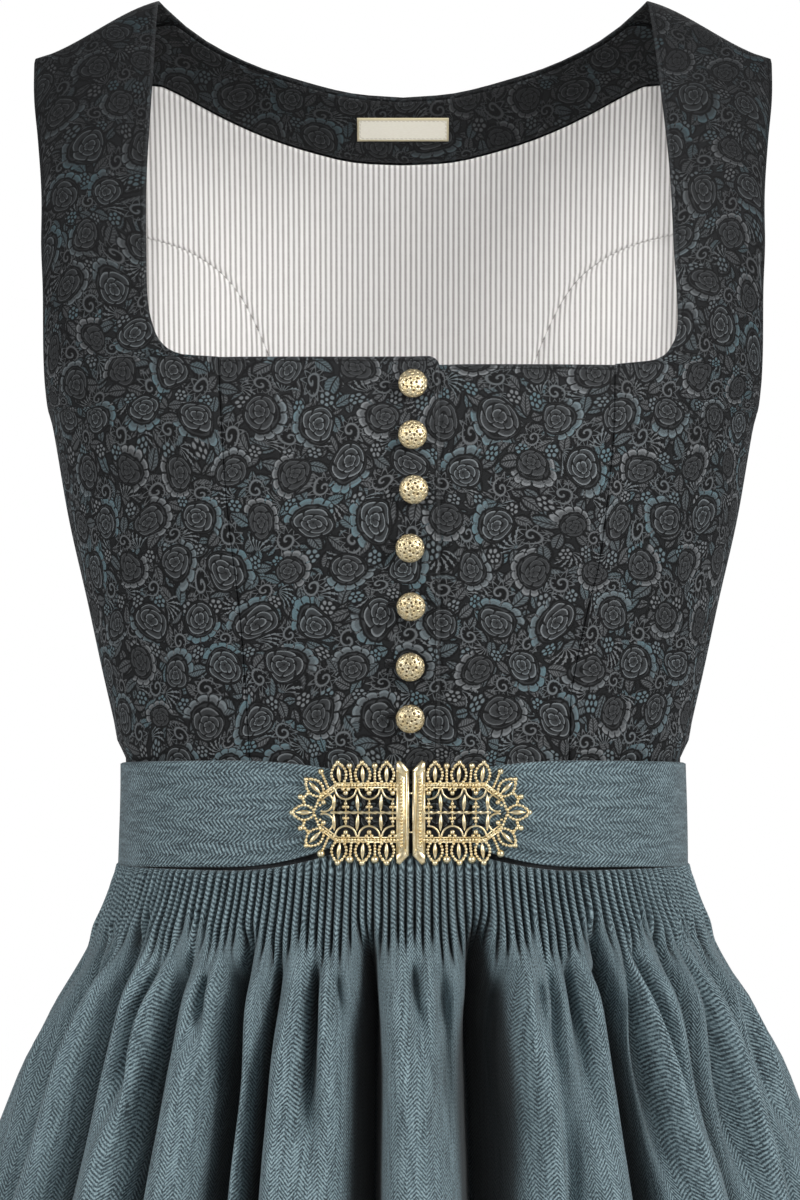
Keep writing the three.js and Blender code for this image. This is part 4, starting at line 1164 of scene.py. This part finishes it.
def fold_at(phi, z):
    """How far the cloth sinks into its folds, and how far their lips close over them, in degrees."""
    sink, turn = 0, 0
    for number, (at, wide, depth, top) in enumerate(FOLDS):
        grown = blend((top + 3 - z) / FOLD_GROWTH) * (1 + 0.1 * (top - z) / -HEM)
        away = degrees_from(phi, at) / (wide * (0.5 + 0.5 * blend((top - z) / FOLD_OPENING)))
        pit = np.exp(-(np.abs(away) ** FOLD_STEEPNESS))
        ridge = np.exp(-((np.abs(away) - 2.3) ** 2))
        sink = sink + depth * grown * (pit - RIDGE_SHARE * ridge)
        lean = FOLD_LEAN * math.sin(number * 2.3 + 0.6)
        turn = turn + wide * grown * (lean * pit - FOLD_PINCH * lips(away))
    for at, wide, depth, top, low, drift in SHORT_FOLDS:
        run = np.clip((top - z) / (top - low), 0, 1)
        grown = blend(run / 0.22) * blend((1 - run) / 0.6)
        away = degrees_from(phi, at + drift * run) / (wide * (0.75 + 0.6 * run))
        pit = np.exp(-(np.abs(away) ** SHORT_STEEPNESS))
        ridge = np.exp(-((np.abs(away) - 2.1) ** 2))
        sink = sink + SHORT_DEEPENING * depth * grown * (pit - 0.2 * ridge)
        turn = turn - 0.5 * wide * grown * lips(away)
    loose = blend((-105 - z) / 120)
    wave = np.sin(np.radians(phi * 21) + 1.7 * np.sin(np.radians(phi * 5.3) + z / 170))
    return sink + 1.7 * loose * wave, turn


def skirt_place(phi, z, out):
    """A place on a skirt, with its folds, and with its top raised in front as the band is."""
    sink, turn = fold_at(phi, z)
    place = ring_place(phi + turn, z, out - FOLD_DEEPENING * sink)
    share = 1 - blend((-53 - z) / 57)
    raised = -BAND_TILT * ring_place(phi, z, 0)[..., 1] * share
    place[..., 2] += np.where(z <= -BAND_HEIGHT, raised, 0)
    return place


PLEAT_STEPS = np.array([0, 0.14, 0.18, 0.28, 0.42, 0.58, 0.72, 0.82])
PLEAT_HALF = 0.345
GATHER_LEVEL = -60.0
LOW_ROW = 12


def cloth_lengths(points):
    """Where each point lies on its flat cloth, in millimetres across and up."""
    step_across = np.linalg.norm(np.diff(points, axis=1), axis=2)
    across = np.concatenate([np.zeros((len(points), 1)), np.cumsum(step_across, axis=1)], axis=1)
    step_down = np.linalg.norm(np.diff(points, axis=0), axis=2).mean(axis=1)
    down = np.concatenate([[0], np.cumsum(step_down)])
    return np.stack([across, np.broadcast_to(-down[:, None], across.shape)], axis=-1)


def hanging_lengths(points):
    """The same for a skirt, measured across low down, so that the weave follows its folds."""
    lengths = cloth_lengths(points)
    lengths[..., 0] = lengths[-LOW_ROW:1 - LOW_ROW, :, 0]
    return lengths


def gathers(count, start, end, seed):
    """Columns over uneven round pleats: their angles, how high each stands, and where its pleat ends."""
    angles = np.linspace(start, end, 900)
    steps_round = np.linalg.norm(np.diff(ring_place(angles, GATHER_LEVEL + 0 * angles, 0), axis=0), axis=1)
    way_round = np.concatenate([[0], np.cumsum(steps_round)]) / steps_round.sum()
    chance = np.random.default_rng(seed)
    widths = 1 + 0.42 * chance.random(count)
    edges = np.concatenate([[0], np.cumsum(widths) / widths.sum()])
    drop = 4 * np.sin(np.arange(count) * 0.9) + 9 * chance.random(count) - 4
    steps = len(PLEAT_STEPS)
    share = edges[:-1, None] + np.diff(edges)[:, None] * PLEAT_STEPS
    high = np.tile(np.sqrt(np.clip(1 - ((PLEAT_STEPS - 0.5) / PLEAT_HALF) ** 2, 0, 1)), count)
    ends = np.repeat(drop, steps)
    columns = np.interp(np.append(share.ravel(), 1), way_round, angles)
    return columns, np.append(high, 0), np.append(ends, drop[-1])


def shade_at(phi, z, pleat_high, fade):
    """How much painted shade the cloth takes: 1 deep in a fold or between two pleats, 0 on the outside."""
    sink = fold_at(phi, z)[0]
    between = (1 - pleat_high) ** 1.4 * np.minimum(1.2 * fade, 1)
    return np.maximum(blend((sink - 4) / 16), between)


left = gathers(SKIRT_PLEATS // 2, GATHER_FROM, 180.25, 21)
right = gathers(SKIRT_PLEATS // 2, -180.25, -GATHER_FROM, 22)
plain = np.linspace(-GATHER_FROM, GATHER_FROM, 200)[1:-1]
phi_columns = np.concatenate([right[0], plain, left[0]])
pleat_high = np.concatenate([right[1], 0 * plain, left[1]])
pleat_end = np.concatenate([right[2], 0 * plain, left[2]])
skirt_heights = np.concatenate([
    [-30.3, -44, -53.5, -56], np.linspace(-60, -130, 16), np.linspace(-140, -330, 18),
    np.linspace(-355, HEM, 13),
])
z = skirt_heights[:, None] * np.ones(len(phi_columns))
phi = phi_columns * np.ones((len(skirt_heights), 1))
fade = blend((z + SKIRT_CORDS_END + pleat_end) / 20) * blend((-50 - z) / 8)
under_apron = blend((GATHER_FROM - 0.5 - np.abs(phi)) / 2.5)
pressed_in = PRESSED_IN * under_apron * blend((-54 - z) / 4) * blend((z + 122) / 14)
out = 0.6 + SKIRT_CORD * pleat_high * fade + 0.4 * (1 - blend((z + 130) / 26)) - pressed_in
outer = skirt_place(phi, z, out)
inner = skirt_place(phi, z, -0.4 - pressed_in)
sunk = shade_at(phi, z, pleat_high, fade)
dress_skirt = shell("dress_skirt_cloth", outer, inner, hanging_lengths(outer), sunk=sunk)
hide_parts("dress_skirt")


def weave_skirt_cloth():
    finish = Finish("dark skirt cloth")
    flat = finish.cloth_place()
    across, up = finish.split(flat)
    weave = across.waves(0.9) * up.waves(0.9)
    slub = finish.cloth_noise(1.4, 0.35, 3.0)
    cloudy = finish.noise(flat, 0.02, 2.0)
    colour = finish.mix(slub.above(0.5, 0.5), SKIRT_DARK, SKIRT_WORN)
    colour = finish.mix(cloudy.above(0.5, 0.5) * 0.35, colour, SKIRT_BLUE)
    # Painted shade: the cloth is darkened deep in its folds and between its gathers.
    colour = finish.mix(finish.attribute("sunk") * 0.7, colour, SKIRT_SHADE)
    return finish.finish(
        Base_Color=colour,
        Roughness=0.82 - 0.12 * slub,
        Normal=finish.bump(weave * 0.6 + slub, 0.00016, 0.8),
        Sheen_Weight=0.12,
        Sheen_Roughness=0.5,
    )


dress_in(dress_skirt, "skirt_cloth", weave_skirt_cloth())

# The apron: herringbone linen, drawn up in even round gathers under its band, from which it falls
# in uneven folds. It is open at the back.
APRON_PLEATS = 104
APRON_REACH = 93
APRON_HEM = -622
APRON_CORD = 4.3
APRON_CORDS_END = 90
CORD_PITS = {"level": 84, "high": 7, "depth": 3.6}
CORD_PHASE = 0.14
APRON_WALL = 0.9
TOP_RISE = {"from": 33, "over": 52, "high": 9}
phi_columns, pleat_high, pleat_end = gathers(APRON_PLEATS, -APRON_REACH, APRON_REACH, 5)
apron_heights = np.concatenate([
    [BAND_TOP - BAND_HEIGHT + 2], np.linspace(-56, -68, 4), np.linspace(-71, -106, 14),
    np.linspace(-111, -132, 4), np.linspace(-139, -330, 21), np.linspace(-355, APRON_HEM, 12),
])
z = apron_heights[:, None] * np.ones(len(phi_columns))
phi = phi_columns * np.ones((len(apron_heights), 1))
from_middle = np.abs(ring_place(phi[0], z[0], 0)[..., 0])
from_ends = np.clip((from_middle - TOP_RISE["from"]) / TOP_RISE["over"], 0, 1)
z[0] += TOP_RISE["high"] * (1 - from_ends) ** 2
fade = blend((z + APRON_CORDS_END + pleat_end) / 14) * (0.55 + 0.45 * blend((-53 - z) / 7))
pit = (1 - pleat_high) ** 2 * np.exp(-(((z + CORD_PITS["level"] + pleat_end) / CORD_PITS["high"]) ** 2))
out = 1.6 + APRON_CORD * pleat_high * fade + 1.6 * (1 - fade) - CORD_PITS["depth"] * pit
outer = skirt_place(phi, z, out)
inner = skirt_place(phi, z, out - APRON_WALL)
twist = (np.append(np.tile(PLEAT_STEPS, APRON_PLEATS), 0) + CORD_PHASE * pleat_end) * fade
sunk = shade_at(phi, z, pleat_high, fade + pit)
apron = shell("apron_cloth", outer, inner, hanging_lengths(outer), sunk=sunk, twist=twist, gathered=fade)
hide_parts("apron_skirt")

# The apron's linen, blue-grey, slubbed and flecked, in a herringbone that runs down the apron and
# along the band. On the gathers the twill winds round the cords, and painted shade darkens it in the
# folds and between the cords.
CHEVRON = 11.5
TWILL = 2.2
CORD_TWIST = 3.4
LINEN_LIGHT = (0.33, 0.445, 0.48, 1)
LINEN = (0.112, 0.166, 0.188, 1)
LINEN_DARK = (0.009, 0.016, 0.021, 1)
LINEN_SHADE = (0.006, 0.0075, 0.0085, 1)


def weave_herringbone(name, turned_and_shaded=False):
    finish = Finish(name)
    flat = finish.cloth_place()
    across, up = finish.split(flat)
    if turned_and_shaded:
        across, up = up, across
    sway = finish.cloth_noise(0.09, 0.09)
    zigzag = across.math("PINGPONG", CHEVRON / 2) * (1 - finish.attribute("gathered"))
    zigzag = zigzag + finish.attribute("twist") * CORD_TWIST
    ramp = (up + zigzag + (sway - 0.5) * 1.2) / TWILL
    rib = (ramp * math.tau).sine()
    slub = finish.cloth_noise(0.75, 0.75, 3.0, 0.65)
    fleck = finish.cloth_noise(2.6, 0.9)
    cloudy = finish.noise(flat, 0.012, 2.0)
    streak = finish.cloth_noise(*((0.05, 0.42) if turned_and_shaded else (0.42, 0.05)))
    heather = (slub - 0.5) * 2.3 + (fleck - 0.5) * 1.5 + (streak - 0.5) * 0.9
    # Painted shade: the band's turned copy of the linen is woven darker than the apron's.
    level = 0.4 if turned_and_shaded else 0.52
    share = (level + (0.05 + 0.66 * slub) * rib + heather).least(1.0).most(0.0)
    low = finish.mix((share * 2.0).least(1.0), LINEN_DARK, LINEN)
    colour = finish.mix((share * 2.0 - 1.0).most(0.0), low, LINEN_LIGHT)
    colour = finish.mix(cloudy.above(0.5, 0.4) * 0.25, colour, LINEN)
    # Painted shade: the linen is darkened deep in its folds and between its cords.
    colour = finish.mix(finish.attribute("sunk") * 0.86, colour, LINEN_SHADE)
    return finish.finish(
        Base_Color=colour,
        Roughness=0.84 - 0.1 * share,
        Normal=finish.bump(rib * 0.6 + slub * 1.2, 0.0002, 0.8),
        Sheen_Weight=0.14,
        Sheen_Roughness=0.5,
    )


dress_in(apron, "herringbone", weave_herringbone("herringbone linen"))

# The apron's band, a double strip of the same linen with crisp edges. It runs round the back and
# is drawn together behind the two halves of the clasp.
BAND_WALL = 2.2
BAND_INSIDE = CLOTH + 0.5
BAND_END = 33
BAND_FLARE = 0.8
BAND_PINCH = {"over": 52, "top": 4.5, "bottom": 10}
BAND_CREASES = (
    # share of the height, run of the share by the end, depth, width, reach from the clasp
    (0.2, 0.1, 2.6, 0.05, 60), (0.42, -0.05, 2.0, 0.045, 46), (0.68, -0.16, 4.2, 0.05, 92),
    (0.84, -0.22, 3.4, 0.045, 64), (0.56, 0.12, 2.0, 0.05, 40),
)
waist_width, waist_square = along(BODICE_SECTIONS, 0, 1), along(BODICE_SECTIONS, 0, 4)
band_reach = math.degrees(math.asin((BAND_END / waist_width) ** (waist_square / 2)))
phi, share = np.meshgrid(np.linspace(band_reach, 360 - band_reach, 361), np.linspace(0, 1, 41))


def band_place(out):
    level_place = ring_place(phi, -30 + 0 * phi, 0)
    away = np.where(level_place[..., 1] < 0, np.abs(level_place[..., 0]) - BAND_END, 999)
    crease = 0
    for at, run, depth, wide, reach in BAND_CREASES:
        gone = np.clip(away / reach, 0, 1)
        beside = share - at + run * gone
        trough = np.exp(-((beside / (wide * (1 + gone))) ** 2))
        ridge = np.exp(-(((beside - 2.2 * wide) / wide) ** 2))
        crease = crease + depth * (trough - 0.5 * ridge) * (1 - blend(gone))
    ripple = 0.35 * np.sin(phi * 0.21 + 3 * share) * np.sin(phi * 0.083 + 1)
    place = ring_place(phi, -30 + 0 * phi, out + BAND_FLARE * share - crease + ripple)
    pinch = (1 - np.clip(away / BAND_PINCH["over"], 0, 1)) ** 2
    level = BAND_TOP - BAND_TILT * place[..., 1]
    top = level - pinch * BAND_PINCH["top"]
    bottom = level - BAND_HEIGHT + pinch * BAND_PINCH["bottom"]
    place[..., 2] = mix(top, bottom, share)
    return place


outer, inner = band_place(BAND_INSIDE + BAND_WALL), band_place(BAND_INSIDE)
band = shell("apron_band_cloth", outer, inner, cloth_lengths(outer))
dress_in(band, "herringbone", weave_herringbone("herringbone linen of the band", True))
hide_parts("apron_band")

# The clasp, two halves of gilt filigree that hook together in front of the band's ends. Each half is
# a bar, a beaded border round scrolls and bead clusters, and a fringe of pointed beaded loops.
CLASP = {
    "gap": 1.5, "turn": 4.6, "out": 2.4, "level": -22.69, "middle": 1.15, "aside": 3.7, "lean": 0.012,
}
CLASP_HALVES = (("clasp_filigree_right", "clasp_right", -1), ("clasp_filigree_left", "clasp_left", 1))
BORDER = ((5.6, 13.2), (35, 13.2), (43.6, 6.8), (46.2, 0))
CLUSTER_PITCH = 11.4
FIRST_SCALLOP = 7.9
CLUSTER = (
    # along from the scallop's middle, out from the half's middle line, radius and height
    (0, 9.5, 1.25, 1.25), (-1.3, 11.3, 1.0, None), (1.3, 11.3, 1.0, None), (0, 4.3, 0.95, 1.2),
    (-1.05, 2.7, 0.78, None), (1.05, 2.7, 0.78, None),
)
STEMS = ((16.55, 13.4, 90), (27.8, 13.4, 84), (38.9, 11.4, 66))
STEM_BEADS = tuple((run, 0.8, 1.0) for run in (1.2, 2.6, 4, 5.4, 6.8, 7.9))
END_BEADS = ((50.9, 5.1, 0.9), (51.4, 6.5, 0.95), (52.7, 7.6, 1.35), (50.5, 7.7, 0.95), (49.4, 8.9, 0.9))
ball_small, ball_small_faces = ball(2)
ball_large, ball_large_faces = ball(3)


def bead(u, v, radius, rise=None):
    points, faces = (ball_large, ball_large_faces) if radius > 1 else (ball_small, ball_small_faces)
    return points * radius + np.array([u, v, CLASP["middle"] if rise is None else rise]), faces


def spaced(points, spacing):
    points = np.array(points, float)
    steps = np.linalg.norm(np.diff(points, axis=0), axis=1)
    run = np.concatenate([[0], np.cumsum(steps)])
    stops = np.linspace(0, run[-1], max(2, round(run[-1] / spacing) + 1))
    return np.stack([np.interp(stops, run, points[:, i]) for i in (0, 1)], axis=-1)


def bead_row(points, radius, spacing=None):
    return [bead(u, v, radius) for u, v in spaced(points, spacing or radius * 1.95)]


def wire(points, radius, height=0.95, ribs=None):
    flat = np.array(points, float)
    return tube(np.column_stack([flat, np.full(len(flat), height)]), radius, 8, ribs=ribs)


def spindle(u, v, lean, reach, half):
    """A leaf of metal, pointed at both ends."""
    swell = np.sqrt(np.clip(1 - ball_large[:, :1] ** 2, 0, 1))
    leaf = ball_large * np.concatenate([np.ones_like(swell), swell, swell], axis=1)
    leaf = leaf * np.array([reach, half, half * 0.95])
    cosine, sine = math.cos(math.radians(lean)), math.sin(math.radians(lean))
    turned = np.stack([
        leaf[:, 0] * cosine - leaf[:, 1] * sine, leaf[:, 0] * sine + leaf[:, 1] * cosine, leaf[:, 2],
    ], axis=-1)
    return turned + np.array([u, v, CLASP["middle"]]), ball_large_faces


def pointed_loop(base_u, base_v, lean, tip=1.15):
    """A beaded loop with a leaf in it and three balls at its point."""
    cosine, sine = math.cos(math.radians(lean)), math.sin(math.radians(lean))

    def placed(run, beside):
        return base_u + run * cosine - beside * sine, base_v + run * sine + beside * cosine

    parts = []
    outline = ((0.2, 1.3), (1.6, 2.6), (3.4, 3.45), (5.2, 3.65), (7, 3.2), (8.6, 2.15), (9.8, 0.9))
    for side in (-1, 1):
        parts += bead_row([placed(run, side * half) for run, half in outline], 0.84)
        parts.append(bead(*placed(9.3, side * 1.75), 0.8, 1.5))
    parts.append(bead(*placed(10.7, 0), tip, 1.3))
    parts.append(spindle(*placed(4.9, 0), lean, 4.1, 1.15))
    return parts


def slab(outline, low, high, bevel):
    outline = np.array(outline, float)
    centre = (outline.min(axis=0) + outline.max(axis=0)) / 2
    half = (outline.max(axis=0) - outline.min(axis=0)) / 2
    small = centre + (outline - centre) * (1 - bevel / half)
    levels = ((small, low), (outline, low + bevel * 0.6), (outline, high - bevel), (small, high))
    rings = [np.column_stack([ring, np.full(len(ring), level)]) for ring, level in levels]
    points = np.concatenate(rings)
    index = np.arange(len(points)).reshape(len(levels), len(outline))
    beyond = np.roll(index, -1, axis=1)
    faces = np.stack([index[:-1], beyond[:-1], beyond[1:], index[1:]], axis=-1).reshape(-1, 4).tolist()
    return points, faces + [index[0, ::-1].tolist(), index[-1].tolist()]


def arc(u, v, radius, start, end):
    turn = np.radians(np.linspace(start, end, 28))
    return np.stack([u + radius * np.cos(turn), v + radius * np.sin(turn)], axis=-1)


def clasp_half(with_hooks):
    bar = ((0, -20.6), (4.6, -25.3), (6.3, -24.2), (6.3, 24.2), (4.6, 25.3), (0, 20.6))
    parts = [
        slab(bar, 0, 1.25, 0.4),
        slab(((0, -20.4), (1.7, -19.5), (1.7, 19.5), (0, 20.4)), 0.5, 2.3, 0.5),
        slab(((0.3, 20.4), (2.1, 17.4), (6.2, 20.6), (6.1, 23.8), (4.6, 24.9)), 0.5, 1.8, 0.35),
        slab(((0.3, -20.4), (4.6, -24.9), (6.1, -23.8), (6.2, -20.6), (2.1, -17.4)), 0.5, 1.8, 0.35),
        wire([(5.7, -20), (5.7, 20)], 0.5, 1.3),
        *(bead(3.7, v, 0.85, 1.45) for v in np.linspace(-16.2, 16.2, 21)),
    ]
    parts.append(wire(spaced([(6, 0), (38, 0)], 0.3), 0.72, 1.0, ribs=(0.55, 0.3)))
    parts += pointed_loop(46.1, 0, 0, 1.3)
    for side in (-1, 1):
        large = 1.25 if side > 0 else 1.55
        border = [(u, side * v) for u, v in BORDER]
        parts += bead_row(border, 0.82, 1.58)
        parts.append(wire([(u, side * (v + 1.05)) for u, v in BORDER[:3]], 0.42, 1.0))
        parts.append(wire([(u - 0.6, side * (v - 1.15)) for u, v in BORDER[:3]], 0.42, 0.9))
        for i in range(3):
            parts += pointed_loop(10.9 + i * 11.3, side * 13.6, side * (90 - i * 3), large)
            foot_u, foot_v, lean = STEMS[i]
            ahead, beside = math.cos(math.radians(lean)), math.sin(math.radians(lean))
            knob = 1.5 if side > 0 else 1.95
            for run, radius, rise in (*STEM_BEADS, (9.3, knob, 1.35)):
                parts.append(bead(foot_u + run * ahead, side * (foot_v + run * beside), radius, rise))
            scallop = FIRST_SCALLOP + i * CLUSTER_PITCH
            start = 182 if i else 262
            parts.append(wire(arc(scallop, side * 11.6, 5.1, side * start, side * 358), 0.52, 1.1))
            parts.append(wire([(scallop, side * 0.4), (scallop, side * 6.7)], 0.4, 0.9))
            parts += [bead(scallop + u, side * v, radius, rise) for u, v, radius, rise in CLUSTER]
            post = scallop + CLUSTER_PITCH / 2
            parts.append(spindle(post, side * 4.7, side * (92 - 6 * (i % 2)), 4.4, 1.05))
            parts.append(bead(post, side * 11.4, 0.8))
        parts.append(wire(arc(41.2, side * 4.9, 4.4, side * 62, side * 292), 0.52, 1.1))
        parts.append(bead(41.4, side * 4.9, 1.2, 1.3))
        parts.append(bead(43.1, side * 3.5, 0.75))
        parts.append(wire(arc(34.2, side * 8.2, 5.2, side * 20, side * 120), 0.5, 1.0))
        parts += pointed_loop(42.2, side * 8.6, side * 44, 1.25)
        parts += [bead(u, side * v, radius) for u, v, radius in END_BEADS]
        if with_hooks:
            hook = [[-2.3, side * 9.4, 0.9], [-1.2, side * 9.4, 1.35], [0.5, side * 9.4, 1.2]]
            parts.append(tube(hook, 0.42, 8))
    return joined(parts)


front_face = along(BODICE_SECTIONS, 0, 2) + BAND_INSIDE + BAND_WALL + CLASP["out"]
for name, node, side in CLASP_HALVES:
    points, faces = clasp_half(side > 0)
    # Painted shade: the filigree is painted darker the lower it lies, towards the band beneath it.
    deep = 0.92 * blend((1.35 - points[:, 2]) / 1.5)
    turn = math.radians(CLASP["turn"])
    x = points[:, 0] * math.cos(turn) + points[:, 2] * math.sin(turn)
    y = points[:, 0] * math.sin(turn) - points[:, 2] * math.cos(turn)
    placed = np.stack([
        side * (CLASP["gap"] / 2 + x) + CLASP["aside"],
        y - front_face + CLASP["lean"] * side * x, points[:, 1] + CLASP["level"],
    ], axis=-1)
    if side < 0:
        faces = [face[::-1] for face in faces]
    half = small_piece(name, placed, faces, deep, "gold_metal", gilt)
    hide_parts(node)
